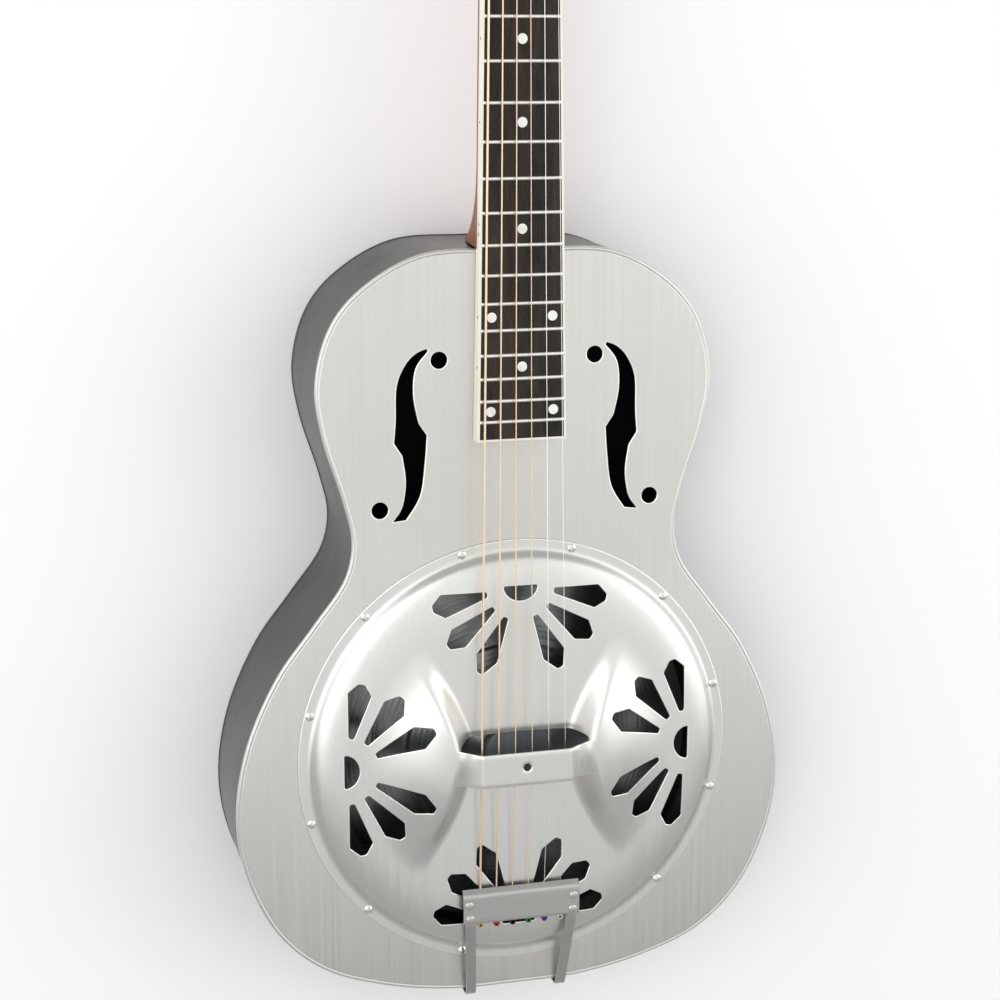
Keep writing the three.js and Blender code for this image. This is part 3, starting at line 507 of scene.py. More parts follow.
# ---- materials
class Look:
    """A Principled material and short names for the nodes that feed it."""

    def __init__(self, name, color, roughness, metallic=0.0, **sockets):
        self.material = bpy.data.materials.new(name)
        self.material.use_nodes = True
        self.tree = self.material.node_tree
        self.shader = self.tree.nodes["Principled BSDF"]
        values = {"Base Color": (*color, 1), "Roughness": roughness, "Metallic": metallic}
        values.update((socket.replace("_", " "), value) for socket, value in sockets.items())
        for socket, value in values.items():
            self.shader.inputs[socket].default_value = value

    def node(self, kind, inputs, output=0, **settings):
        node = self.tree.nodes.new("ShaderNode" + kind)
        for key, value in settings.items():
            setattr(node, key, value)
        for key, value in inputs.items():
            if isinstance(value, bpy.types.NodeSocket):
                self.tree.links.new(value, node.inputs[key])
            else:
                node.inputs[key].default_value = value
        return node.outputs[output]

    def place(self, scale=(1, 1, 1), turn=(0, 0, 0)):
        coords = self.node("TexCoord", {}, "Object")
        return self.node("Mapping", {"Vector": coords, "Scale": scale, "Rotation": turn})

    def noise(self, scale, detail, rough, warp=0.0, turn=(0, 0, 0)):
        """Scale is one number, or one for each axis."""
        even = isinstance(scale, float)
        vector = self.place() if even else self.place(scale, turn)
        return self.node("TexNoise", {"Vector": vector, "Scale": scale if even else 1.0,
                                      "Detail": detail, "Roughness": rough, "Distortion": warp})

    def between(self, value, *limits):
        names = ("From Min", "From Max", "To Min", "To Max")
        return self.node("MapRange", {"Value": value, **dict(zip(names, limits))})

    def math(self, operation, a, b):
        return self.node("Math", {0: a, 1: b}, operation=operation)

    def ramp(self, value, stops):
        color = self.node("ValToRGB", {"Fac": value})
        steps = color.node.color_ramp.elements
        while len(steps) < len(stops):
            steps.new(0.5)
        for step, (position, stop) in zip(steps, stops):
            step.position = position
            step.color = (*stop, 1)
        return color

    def mix(self, value, limits, a, b):
        """Goes from a to b as the value goes through the limits."""
        colors = {key: c if isinstance(c, bpy.types.NodeSocket) else (*c, 1) for key, c in ((6, a), (7, b))}
        factor = self.between(value, *limits)
        return self.node("Mix", {0: factor, **colors}, 2, data_type="RGBA")

    def finish(self, color, roughness, height=None, strength=0.0, relief=0.0):
        """Links what varies over the surface, and gives the material."""
        normal = height and self.node("Bump", {"Height": height, "Strength": strength, "Distance": relief})
        for socket, value in (("Base Color", color), ("Roughness", roughness), ("Normal", normal)):
            if value:
                self.tree.links.new(value, self.shader.inputs[socket])
        return self.material


def shade(color, *factors):
    """The colour times one factor, or times one for each channel."""
    return tuple(min(c * k, 1) for c, k in zip(color, factors * 3))


def brushed(name, color, rough, grain=(1100, 16, 1100), wear=0.1, relief=0.00002):
    """Plated metal with brushing along one axis, cloudy handling marks and fine scratches."""
    look = Look(name, color, rough, 1.0)
    lines = look.noise(grain, 4.0, 0.6)
    clouds = look.noise(9.0, 5.0, 0.6, 0.4)
    specks = look.noise(260.0, 2.0, 0.5)
    tone = look.mix(lines, (0.3, 0.7, 0.0, 1.0), shade(color, 1 - wear), shade(color, 1 + 0.35 * wear))
    stain = look.mix(clouds, (0.42, 0.72, 0.0, 0.45), tone, shade(color, 0.9, 0.89, 0.865))
    blur = look.math("ADD", look.between(clouds, 0.3, 0.75, -0.05, 0.07),
                     look.between(lines, 0.3, 0.7, rough - 0.04, rough + 0.05))
    blur = look.math("ADD", blur, look.between(specks, 0.6, 0.75, 0.0, 0.03))
    height = look.math("ADD", lines, look.math("MULTIPLY", clouds, 0.4))
    return look.finish(stain, blur, height, 0.35, relief)


def bright_metal(name, color, rough=0.16, tint=0.9):
    """Polished metal with faint tarnish and small scratches."""
    look = Look(name, color, rough, 1.0)
    clouds = look.noise(120.0, 4.0, 0.6, 0.5)
    marks = look.noise((2500, 300, 2500), 3.0, 0.6, turn=(0.3, 0.2, 0.6))
    tarnish = shade(color, tint, tint * 0.97, tint * 0.9)
    blur = look.math("ADD", look.between(clouds, 0.35, 0.75, rough - 0.04, rough + 0.08),
                     look.between(marks, 0.5, 0.75, 0.0, 0.06))
    return look.finish(look.mix(clouds, (0.4, 0.75, 0.0, 0.6), color, tarnish), blur, marks, 0.15, 0.00001)


def spun_metal(name, color):
    """Thin spun sheet: fine lathe rings round the Z axis."""
    look = Look(name, color, 0.32, 1.0)
    flat = look.node("VectorMath", {0: look.place(), 1: (1, 1, 0)}, operation="MULTIPLY")
    radius = look.node("VectorMath", {0: flat}, "Value", operation="LENGTH")
    rings = look.math("SINE", look.math("MULTIPLY", radius, 5200.0), 0.0)
    clouds = look.noise(30.0, 4.0, 0.6)
    return look.finish(look.mix(clouds, (0.35, 0.7, 0.0, 0.7), color, shade(color, 0.72)),
                       look.between(clouds, 0.3, 0.7, 0.26, 0.44), rings, 0.3, 0.00004)


def wood(name, dark, light, rough, pores=0.5, scale=1.0, coat=0.0, streak=5.0, shine=0.5):
    """Wood with its grain along Y: bands, darker pores and a soft sheen."""
    look = Look(name, light, rough, Coat_Weight=coat, Coat_Roughness=0.12, Specular_IOR_Level=shine)
    bands = look.noise((55 * scale, streak * scale, 55 * scale), 5.0, 0.6, 0.8)
    fine = look.noise((1500 * scale, 45 * scale, 1500 * scale), 3.0, 0.6)
    middle = tuple((a + b) / 2 for a, b in zip(dark, light))
    tone = look.ramp(bands, [(0.3, dark), (0.5, middle), (0.72, light)])
    height = look.math("ADD", fine, look.math("MULTIPLY", bands, 0.3))
    return look.finish(look.mix(fine, (0.36, 0.5, pores, 0.0), tone, shade(dark, 0.35)),
                       look.between(fine, 0.35, 0.65, rough + 0.1, rough - 0.05), height, 0.3,
                       0.00006)


def moulded(name, color, rough, aged):
    """Plastic or bone with a little yellowing, handling sheen and fine texture."""
    look = Look(name, color, rough)
    clouds = look.noise(60.0, 4.0, 0.6, 0.3)
    fine = look.noise((900, 160, 900), 3.0, 0.5)
    return look.finish(look.mix(clouds, (0.4, 0.7, 0.0, 0.5), color, aged),
                       look.between(fine, 0.3, 0.7, rough - 0.06, rough + 0.08), fine, 0.25,
                       0.00002)


def wound(name, color, rough, pitch):
    """Round wire wound close: ridges across a string that runs along Y, with painted shade darkening the
    grooves between turns.
    """
    look = Look(name, color, rough, 1.0)
    along = look.node("SeparateXYZ", {0: look.place()}, "Y")
    turns = look.math("SINE", look.math("MULTIPLY", along, 2 * pi / (pitch * MM)), 0.0)
    clouds = look.noise((1, 40, 1), 3.0, 0.6)
    dull_and_groove_shade = shade(color, 0.8)
    tone = look.mix(clouds, (0.35, 0.7, 0.0, 0.6), color, dull_and_groove_shade)
    # random dull patches, and the grooves between turns darkened as painted shade
    return look.finish(look.mix(turns, (-1, -0.2, 0.5, 0.0), tone, dull_and_groove_shade),
                       look.between(clouds, 0.3, 0.7, rough, rough + 0.12), turns, 0.35, 0.00005)


def pearl(name):
    """Shell with cloudy figure."""
    look = Look(name, (0.86, 0.86, 0.84), 0.22, Coat_Weight=0.4)
    figure = look.noise((160, 90, 160), 5.0, 0.7, 1.2)
    tone = look.ramp(figure, [(0.3, (0.72, 0.73, 0.7)), (0.5, (0.88, 0.88, 0.85)),
                              (0.7, (0.96, 0.95, 0.93))])
    return look.finish(tone, look.between(figure, 0.3, 0.7, 0.15, 0.32))


TOP_METAL = brushed("satin_nickel_top", (0.70, 0.695, 0.665), 0.36, (1100, 6, 1100), 0.07,
                    0.000008)
COVER_METAL = brushed("satin_nickel_cover", (0.745, 0.745, 0.72), 0.35, (900, 5, 900), 0.035,
                      0.000002)
# Nickel of the sides, back and sound well, coloured near black: painted shade standing in for the dark
# surroundings they reflect.
SHADED_SIDE_METAL = brushed("body_nickel_painted_shade", (0.088, 0.081, 0.080), 0.32, (16, 16, 900), 0.14)
# Inside faces of the sides and back, near black: painted shade of the closed body.
SHADED_INSIDE_METAL = brushed("inside_sheet_painted_shade", (0.045, 0.044, 0.042), 0.6, (300, 30, 300), 0.2)
TAIL_METAL = brushed("nickel_tailpiece", (0.52, 0.515, 0.50), 0.34, (14, 700, 700), 0.05,
                     0.000006)
# Rims of the holes and plate edges: glossier than their plates, and their lighter colour is a painted
# highlight.
HIGHLIGHT_EDGE_METAL = bright_metal("polished_edges_painted_highlight", (0.93, 0.93, 0.88), 0.3)
BRIGHT = bright_metal("bright_nickel", (0.80, 0.79, 0.77))
RIVET_METAL = bright_metal("rivet_nickel", (0.62, 0.615, 0.60), 0.24)
FRET_METAL = bright_metal("nickel_silver", (0.96, 0.95, 0.92), 0.26)
STEEL = bright_metal("drawn_steel", (0.70, 0.71, 0.72), 0.22)
STRING_STEEL = bright_metal("string_steel", (0.97, 0.97, 0.97), 0.3)
# Maple bridge disc coloured dark grey: painted shade of the port it sits under.
SHADED_MAPLE = wood("maple_disc_painted_shade", (0.06, 0.07, 0.078), (0.14, 0.158, 0.175), 0.4, 0.3)
BRASS = bright_metal("cut_brass", (0.72, 0.52, 0.24), 0.26, 0.75)
# Aluminium cone darkened to about half its own brightness: painted shade under the coverplate.
SHADED_CONE_METAL = spun_metal("spun_aluminium_painted_shade", (0.30, 0.31, 0.31))
NECK_WOOD = wood("mahogany_neck", (0.20, 0.055, 0.017), (0.40, 0.13, 0.042), 0.46, 0.45, coat=0.08,
                 shine=0.3)
RAW_WOOD = wood("mahogany_raw", (0.16, 0.07, 0.04), (0.32, 0.15, 0.085), 0.6, 0.5)
BOARD_WOOD = wood("rosewood_board", (0.012, 0.0105, 0.009), (0.050, 0.037, 0.029), 0.5, 0.6, 1.6,
                  streak=9.0, shine=0.2)
# Saddle coloured near black: painted shade of the port it stands in.
SHADED_SADDLE_WOOD = wood("saddle_painted_shade", (0.03, 0.032, 0.035), (0.09, 0.095, 0.105), 0.45, 0.4)
CREAM = moulded("cream_binding", (0.90, 0.87, 0.77), 0.32, (0.84, 0.78, 0.62))
BONE = moulded("polished_bone", (0.85, 0.81, 0.70), 0.3, (0.72, 0.64, 0.48))
BLACK = moulded("black_plastic_dots", (0.012, 0.012, 0.012), 0.3, (0.03, 0.03, 0.03))
SHELL = pearl("shell_inlay")


def piece(name, shape, looks, slot, *nodes, body="guitar", sharp=35.0):
    """Makes a piece, rides it on its body and hides the CAD nodes it stands for."""
    made = mesh_object(name, shape if isinstance(shape, Shape) else shape_of(shape), sharp)
    for look in looks if isinstance(looks, list) else [looks]:
        made.data.materials.append(look)
    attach(made, body)
    if nodes:
        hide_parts(*nodes)
    return made


# ---- body
def body_outline(count=320):
    loop = mirrored([(0, BODY_END), *OUTLINE, (0, TAIL_END)])
    return offset(ccw(resample(spline(loop, 12, closed=True, power=0.5), count)), BODY_INSET)


def sound_hole(side):
    runs = [spline([(side * x, y) for x, y in run], 6) for run in SOUND_HOLE]
    return ccw(np.vstack(runs))


ROLLED_TOP = [(3.2, 0), (2.85, -0.03), (2.55, -0.2), (2.25, -0.05), (1.8, 0.1), (1.2, 0.08),
              (0.6, -0.22), (0.18, -0.75), (0, -1.4), (0.12, -1.95), (0.45, -2.25), (1.3, -2.3),
              (1.5, -1.1), (3.2, -1.0)]
ROLLED_BACK = [(2.6, 0), (2.2, 0), (1.3, -0.12), (0.6, -0.45), (0.15, -1.0), (0, -1.5),
               (0.15, -2.0), (0.5, -2.25), (1.3, -2.3), (1.5, -1.1), (2.6, -1.0)]


def body_pieces():
    outline = body_outline()
    edge = lip(0.6, SHEET)
    ledge, wall_in, wall_out, flange = WELL
    holes = [(circle(0, 0, wall_in, 120), lip(0.3, SHEET))]
    for side in (-1, 1):
        holes.append((sound_hole(side), edge))
        holes += [(circle(side * x, y, 5, 28), edge) for x, y in ROUND_HOLES]
    top = shape_of(sheet((outline, ROLLED_TOP), holes, lambda x, y: TOP))
    rolled = len(outline) * (len(ROLLED_TOP) - 1)
    top.looks[:rolled] = [0] * rolled
    piece("top_plate", top, [TOP_METAL, HIGHLIGHT_EDGE_METAL], "satin_nickel", "body_top")

    flip = Matrix.Scale(-1, 4, (0, 0, 1))
    back = shape_of(sheet((outline, ROLLED_BACK), [], lambda x, y: 0.0), flip)
    back.looks = [0] * len(back.faces)
    made = piece("back_plate", back, [SHADED_SIDE_METAL, SHADED_INSIDE_METAL], "body_nickel", "body_back")
    for face in made.data.polygons:
        if face.normal.z > 0.9 and face.center.z > 0.5 * MM:
            face.material_index = 1

    levels = [(0.5, 2.0), (0.5, TOP - 2.0), (1.4, TOP - 2.0), (1.4, 2.0)]
    wall = shape_of(loft([[(x, y, z) for x, y in offset(outline, inset)] for inset, z in levels],
                         closed=True))
    size = len(outline)
    wall.looks[2 * size:3 * size] = [1] * size
    piece("side_wall", wall, [SHADED_SIDE_METAL, SHADED_INSIDE_METAL], "body_nickel", "body_sides")

    profile = [(ledge, WELL_FOOT), (wall_out, WELL_FOOT), (wall_out, WELL_TOP - SHEET),
               (flange, WELL_TOP - SHEET), (flange, WELL_TOP), (wall_in, WELL_TOP),
               (wall_in, WELL_FOOT + SHEET), (ledge, WELL_FOOT + SHEET)]
    piece("well_ring", lathe(profile, 120, closed=True), SHADED_SIDE_METAL, "body_nickel", "sound_well")


# ---- cone and bridge
def cone_line(radius):
    """Upper surface of the cone, with its spun ridges."""
    base = np.interp(radius, [24.5, 66.5, 113, CONE_RADIUS],
                     [CONE_TOP, CONE_FOOT + 13.2, CONE_FOOT + 1.6, CONE_FOOT + 1.6])
    ridge = smooth((radius - 26) / 8) * smooth((112 - radius) / 8)
    bead = 0.9 * exp(-((radius - 68.5) / 1.4) ** 2)
    return float(base) + bead - ridge * 0.05 * (1 - cos(2 * pi * radius / 3.2))


def cone_and_bridge():
    radii = [2.2, 12, 20, *np.arange(24, 114, 0.8), 116, CONE_RADIUS]
    upper = [(r, cone_line(r)) for r in radii]
    lower = [(r, z - CONE_SHEET) for r, z in reversed(upper)]
    solid = lathe(upper + lower, 128, closed=True)
    piece("ridged_cone", solid, SHADED_CONE_METAL, "spun_aluminium", "cone")

    foot, head, radius = low("biscuit").z, high("biscuit").z, high("biscuit").x
    profile = [(radius - 1, foot), (radius - 0.3, foot + 0.3), (radius, foot + 1)]
    profile += [(radius - 1.4 * (1 - cos(a)), head - 1.4 * (1 - sin(a))) for a in np.linspace(0, pi / 2, 5)]
    profile += [(radius - 1.7, head), (3, head)]
    piece("bridge_disc", lathe(profile, 96), SHADED_MAPLE, "maple", "biscuit")

    line = [(-31, TOP + 10), (-20, TOP + 9.2), (-20, TOP + 6.5), (20, TOP + 6.5),
            (20, TOP + 9.2), (31, TOP + 10), (30.6, SADDLE_TOP - 0.6), (29.9, SADDLE_TOP)]
    for radius, _, x, _ in reversed(STRINGS.values()):
        notch = radius + 0.05
        line += [(x + notch * a, SADDLE_TOP - b) for a, b in ((1, 0), (0.8, 0.2), (-0.8, 0.2), (-1, 0))]
    line += [(-29.9, SADDLE_TOP), (-30.6, SADDLE_TOP - 0.6)]
    solid = plate(line, -SADDLE_HALF + 0.2, SADDLE_HALF - 0.2, 0.05, 1)
    piece("bridge_saddle", shape_of(solid, UPRIGHT), SHADED_SADDLE_WOOD, "rosewood", "saddle")


# ---- coverplate
def dome_table():
    """Height of the plain dome by radius, with softly rounded bends."""
    radii = np.arange(0, 150, 0.25)
    shoulder = DOME_EDGE + (DOME - DOME_EDGE) * (1 - np.clip((radii - 70) / (RISER[1] - 70), 0, 1) ** 6.5)
    heights = np.where(radii < RISER[1], shoulder,
                       np.interp(radii, [RISER[1], RISER[0]], [DOME_EDGE, FLANGE]))
    kernel = np.exp(-0.5 * (np.arange(-12, 13) * 0.25 / 0.35) ** 2)
    padded = np.pad(heights, 12, mode="edge")
    return radii, np.convolve(padded, kernel / kernel.sum(), mode="valid")


DOME_RADII, DOME_HEIGHTS = dome_table()


def cover_height(x, y):
    """Dome plus the two mounds beside the strings; the valley opens in a curve both ways."""
    radius = hypot(x, y)
    front = smooth((y + 12) / 22)
    foot = hypot(31 - 3 * front, (0.74 - 0.06 * front) * y)
    side = ramp((abs(x) - foot) / WALL)
    fall = smooth(1 - (radius - 42) / 58)
    rolled = 0.7 * smooth((20.5 - y) / 4) * smooth((y - 14) / 2) * smooth((40 - abs(x)) / 5)
    dome = float(np.interp(radius, DOME_RADII, DOME_HEIGHTS))
    return TOP + dome + HILL * side * fall - rolled * (1 - side)


def fan_holes():
    """Four fans of six petals, each with a half-round hole at its root."""
    root = [(9.3 * cos(a), 10.75 * sin(a)) for a in np.linspace(pi / 2, 1.5 * pi, 17)]
    root = resample(rounded(root, 0.5, 2), 44) + (FAN_RADIUS, 0)
    fan = []
    for degrees, far in PETALS:
        petal = [(21.8, -1.6), (50, -7.2), (far, -1.9), (far, 1.9), (50, 7.2), (21.8, 1.6)]
        petal = resample(rounded(petal, 0.35), 72)
        fan += [turned_about(petal, pi + side * radians(degrees)) + (FAN_RADIUS, 0) for side in (-1, 1)]
    return [turned_about(loop, quarter * pi / 2) for quarter in range(4) for loop in (*fan, root)]


PORT_HALF = [(37, -14), (39.5, 9.5), (41.2, 12.9), (40.6, 14.4), (37.5, 15.5), (32, 16.2)]
PORT = rounded([(-37, -14), *PORT_HALF, (0, 16.9), *((-x, y) for x, y in PORT_HALF[:0:-1])], 2.2)


def cover_piece():
    free = []
    for step, near in ((2.0, False), (1.15, True)):
        reach = int(92 / step / 0.866) + 1
        for j in range(-reach, reach + 1):
            for i in range(-reach, reach + 1):
                x, y = (i + 0.5 * (j % 2)) * step, j * step * 0.866
                wall = 24 < abs(x) < 64 and abs(y) < 76
                if hypot(x, y) < 92 and wall == near:
                    free.append((x, y))
    radii = [*np.arange(93.5, 124, 2.6), *np.arange(124.6, 135.2, 0.85), 136.6]
    for k, radius in enumerate(radii):
        turns = [2 * pi * (i + 0.5 * (k % 2)) / 300 for i in range(300)]
        free += [(radius * cos(a), radius * sin(a)) for a in turns]
    edge = lip(0.45, COVER_SHEET)
    holes = [(loop, edge) for loop in fan_holes()] + [(resample(PORT, 130), edge)]
    solid = sheet((circle(0, 0, COVER_RADIUS, 300), edge), holes, cover_height, free, 1.0)
    piece("fan_cover", solid, [COVER_METAL, HIGHLIGHT_EDGE_METAL], "satin_nickel", "coverplate")


def rest_piece():
    """Flat in the middle; the ends slope down and run into the mounds."""
    rear, front = REST_REAR, REST_FRONT
    half = [(0, rear), (36, rear), (41, rear + 1.2), (48, rear + 3.0), (48, 14.5), (44, 13.6),
            (41, 12.2), (37.5, 10.6), (31, front), (0, front)]
    outline = resample(rounded(mirrored(half), 3.0, 5), 200)

    def height(x, y):
        roll = max(0.0, (abs(y - (front + rear) / 2) - ((front - rear) / 2 - 2.2)) / 2.2)
        dimple = max(0.0, 1 - (hypot(x, y + 0.3) - 2.6) / 1.2)
        share = min(max((abs(x) - 27.5) / 19.5, 0), 1) ** 1.3
        flat = REST_TOP - 0.4 * min(roll, 1) ** 2 * (1 - share) - 0.4 * min(dimple, 1) ** 2
        return flat * (1 - share) + (cover_height(x, y) - 0.3) * share

    free = [(x, y) for x in np.arange(-47, 47.5, 1.2) for y in np.arange(rear + 0.8, 14, 0.95)]
    free += [p for r in (3.1, 3.6, 4.1) for p in circle(0, -0.3, r, 30)]
    hole = (circle(0, -0.3, 2.55, 30), lip(0.3, COVER_SHEET))
    solid = sheet((outline, lip(0.4, COVER_SHEET)), [hole], height, free, 0.55)
    piece("palm_bar", solid, [COVER_METAL, HIGHLIGHT_EDGE_METAL], "satin_nickel", "hand_rest")


def screw_head(radius, height, sides=32):
    """A domed screw head with a straight slot, standing on z 0."""
    def dome(x, y, z=0.0):
        share = min(hypot(x, y) / radius, 1.0)
        return x, y, height * (sqrt(max(1 - 0.82 * share * share, 0.0)) - z)

    outer = circle(0, 0, radius, sides)
    half, wide = radius * 0.78, radius * 0.11
    cut = ccw(resample(np.array([(-half, -wide), (half, -wide), (half, wide), (-half, wide)]), 24))
    free = np.vstack([circle(0, 0, r * radius, 24) for r in (0.3, 0.55, 0.75, 0.9)])
    points, faces = triangulate([outer, cut], free, 0.1 * radius)
    base, size = len(points), len(cut)
    foot = base + size
    verts = [dome(x, y) for x, y in points] + [dome(x, y, 0.35) for x, y in offset(cut, 0.06)]
    verts += [(x, y, 0.0) for x, y in outer]
    faces = [list(f) for f in faces]
    for start, count, end in ((sides, size, base), (0, sides, foot)):
        faces += [[start + i, start + (i + 1) % count, end + (i + 1) % count, end + i]
                  for i in range(count)]
        faces.append([end + i for i in range(count)])
    return verts, faces


def cover_screws():
    shape = Shape()
    for i in range(12):
        angle = pi * (2 * i + 1) / 12
        spot = at(SCREW_CIRCLE * cos(angle), SCREW_CIRCLE * sin(angle), TOP + FLANGE)
        shape.add(screw_head(2.65, 1.25), spot @ spin(0.7 + 1.9 * i, "Z"))
    piece("cover_screws", shape, BRIGHT, "polished_nickel")


# ---- neck
POST_HOLE = 5.0
ROD_POCKET = [(-6, 3), (6, 3), (6, 22), (-6, 22)]      # round the truss rod nut, under its cover


def carve(made, shape, sharp):
    """Cuts closed solids out of a piece."""
    cutter = mesh_object("cutter", shape)
    cut = made.modifiers.new("cut", "BOOLEAN")
    cut.object = cutter
    graph = bpy.context.evaluated_depsgraph_get()
    made.data = bpy.data.meshes.new_from_object(made.evaluated_get(graph), depsgraph=graph)
    made.modifiers.clear()
    bpy.data.objects.remove(cutter)
    made.data.shade_smooth()
    made.data.set_sharp_from_angle(angle=radians(sharp))


HEAD_HALF = [(21.4, -4), (21.9, 6), (28.5, 16), (36, 26), (36.5, 60), (34, 120), (32.5, 168),
             (28.5, 175.5), (22, 179.6), (13, 181.6), (8, 182)]


def neck_section(width, depth, place, squareness, narrow):
    """D-shaped section, flat on top: squareness 0 is round below and 1 nearly a rectangle."""
    ring = []
    for a in (pi * k / 32 for k in range(33)):
        z = -(sin(a) ** (0.8 - 0.62 * squareness))
        x = copysign(abs(cos(a)) ** (1 - 0.8 * squareness), cos(a)) * (1 - narrow * -z)
        ring.append(place @ Vector((width * x, 0, depth * z)))
    return ring


def neck_piece():
    rings = []
    start = BODY_END + GLUE
    for k in range(61):
        y = start + (NUT_Y - 4 - start) * (k / 60) ** 1.5
        heel = max(0.0, 1 - (y - start) / HEEL_LENGTH)
        depth = NECK_DEPTH + 0.006 * (NUT_Y - y) + HEEL_DEPTH * heel**3
        rings.append(neck_section(half_width(y), depth, at(0, y, neck_top(y)), 0.5 * heel, 0.2 * heel))
    for y, x in resample(spline([(y, x) for x, y in HEAD_HALF], 6), 60, closed=False):
        if y >= 2:
            share = smooth((y - 2) / 16)
            depth = HEAD_THICK + 2.0 * (1 - share)
            rings.append(neck_section(x, depth, HEAD @ at(0, y, 0), share, 0.0))
    made = piece("neck_wood", loft(rings), NECK_WOOD, "mahogany", "neck", sharp=50)
    bores = Shape()
    for x, y in TUNERS.values():
        bore = lathe([(POST_HOLE, -HEAD_THICK - 5), (POST_HOLE, 5)], 32)
        bores.add(bore, HEAD @ at(x, y, 0))
    pocket = np.array(ROD_POCKET) + [(0, -5), (0, -5), (0, 0), (0, 0)]
    bores.add(loft([[(x, y, z) for x, y in pocket] for z in (-10.5, 5)]), HEAD)
    carve(made, bores, 50)


def head_outline(inset):
    half = [(x - inset, max(y, inset) if y < 100 else y - inset) for x, y in HEAD_HALF]
    line = spline(half, 5)
    return ccw(np.vstack([line, (line * (-1, 1))[::-1]]))


def board_foot(y):
    return TOP + 0.5 if y < BODY_END else board_height(y) - BOARD_THICK


def board_piece():
    rings = []
    for y in (BOARD_END + BINDING, BODY_END - 0.01, BODY_END + 0.01, NUT_Y - GLUE):
        w, foot, face = half_width(y) - BINDING, board_foot(y), board_height(y)
        rings.append([(-w, y, foot), (w, y, foot), (w, y, face), (-w, y, face)])
    piece("board", loft(rings), BOARD_WOOD, "rosewood", "fretboard")


def binding_piece():
    """Strips along both edges and across the end, with a rounded outer corner."""
    run = [NUT_Y - GLUE, BODY_END + 0.01, BODY_END - 0.01, BOARD_END]
    section = ((BINDING, None), (0.0, None), (0.0, 0.7), (0.15, 0.25), (0.6, 0.0), (BINDING, 0.0))
    rings = []
    for side, y in [(-1, y) for y in run] + [(1, y) for y in reversed(run)]:
        ring = []
        for inset, drop in section:
            place = y + inset if y == BOARD_END else y
            z = board_foot(y) if drop is None else board_height(place) + 0.02 - drop
            ring.append((side * (half_width(y) - inset), place, z))
        rings.append(ring)
    piece("board_binding", loft(rings), CREAM, "cream_plastic", "fretboard_binding")


def frets_piece():
    half = [(1.15, -0.4), (1.15, 0.1), (0.95, 0.55), (0.5, 0.88)]
    crown = [*((-a, b) for a, b in half), (0, 0.99), *half[::-1]]
    ends = [(0, 0.05), (0.35, 0.62), (0.8, 0.93), (1.4, 1.0)]
    shape = Shape()
    for y in (fret_place(number) for number in range(1, FRETS + 1)):
        w = half_width(y) - 1.0
        stations = [(a - w, share) for a, share in ends] + [(w - a, share) for a, share in ends[::-1]]
        shape.add(loft([[(x, y + a, board_height(y) + (b * share if b > 0 else b))
                         for a, b in crown] for x, share in stations]))
    piece("frets", shape, FRET_METAL, "polished_nickel", sharp=50)


def fret_middle(number):
    return (fret_place(number) + fret_place(number - 1)) / 2


def marker_pieces():
    markers, seats, dots = Shape(), Shape(), Shape()
    spots = [(0, n) for n in (3, 5, 7, 9, 12, 17)]
    for x, number in spots + [(side * 19.5, n) for side in (-1, 1) for n in (15, 19)]:
        y = fret_middle(number)
        x = copysign(min(abs(x), half_width(y) - 8), x)
        place = at(x, y, board_height(y)) @ spin(-BOARD_SLOPE, "X")
        markers.add(lathe([(3.05, -0.6), (3.05, 0.02), (2.9, 0.07)], 40), place)
        seats.add(lathe([(3.4, -0.6), (3.4, 0.015), (3.3, 0.03)], 40), place)
    for number, shift in [*((n, 0) for n in (3, 5, 7, 9, 15, 17)), (12, -3), (12, 3)]:
        y = fret_middle(number) + shift
        place = at(-half_width(y), y, board_height(y) - 2.4) @ spin(-pi / 2, "Y")
        dots.add(lathe([(0.9, -0.5), (0.9, 0.0), (0.8, 0.05)], 20), place)
    piece("board_markers", markers, SHELL, "bone")
    piece("marker_seats", seats, BLACK, "black_plastic")
    piece("side_dots", dots, BLACK, "black_plastic")


def nut_piece():
    lo, hi = low("nut"), high("nut")
    slots = [(x, r) for r, _, _, x in STRINGS.values()]
    stations = {round(x, 3) for x in np.linspace(lo.x + 0.3, hi.x - 0.3, 19)}
    stations |= {round(x + k * (r + 0.04), 3) for x, r in slots for k in (-1.25, -1, -0.7, 0.7, 1, 1.25)}
    rings = []
    for x in [lo.x, *sorted(stations), hi.x]:
        depth = max((r * 1.1 for centre, r in slots if abs(x - centre) < r + 0.03), default=0.0)
        top = hi.z + 0.55 - depth - (0.35 if x in (lo.x, hi.x) else 0.0)
        rings.append([(x, lo.y, lo.z), (x, hi.y, lo.z), (x, hi.y, top - 1.3),
                      (x, hi.y - 0.5, top - 0.7), (x, hi.y - 1.8, top - 0.15),
                      (x, lo.y + 0.9, top), (x, lo.y + 0.25, top - 0.1), (x, lo.y, top - 0.4)])
    piece("string_nut", loft(rings), BONE, "bone", "nut", sharp=45)


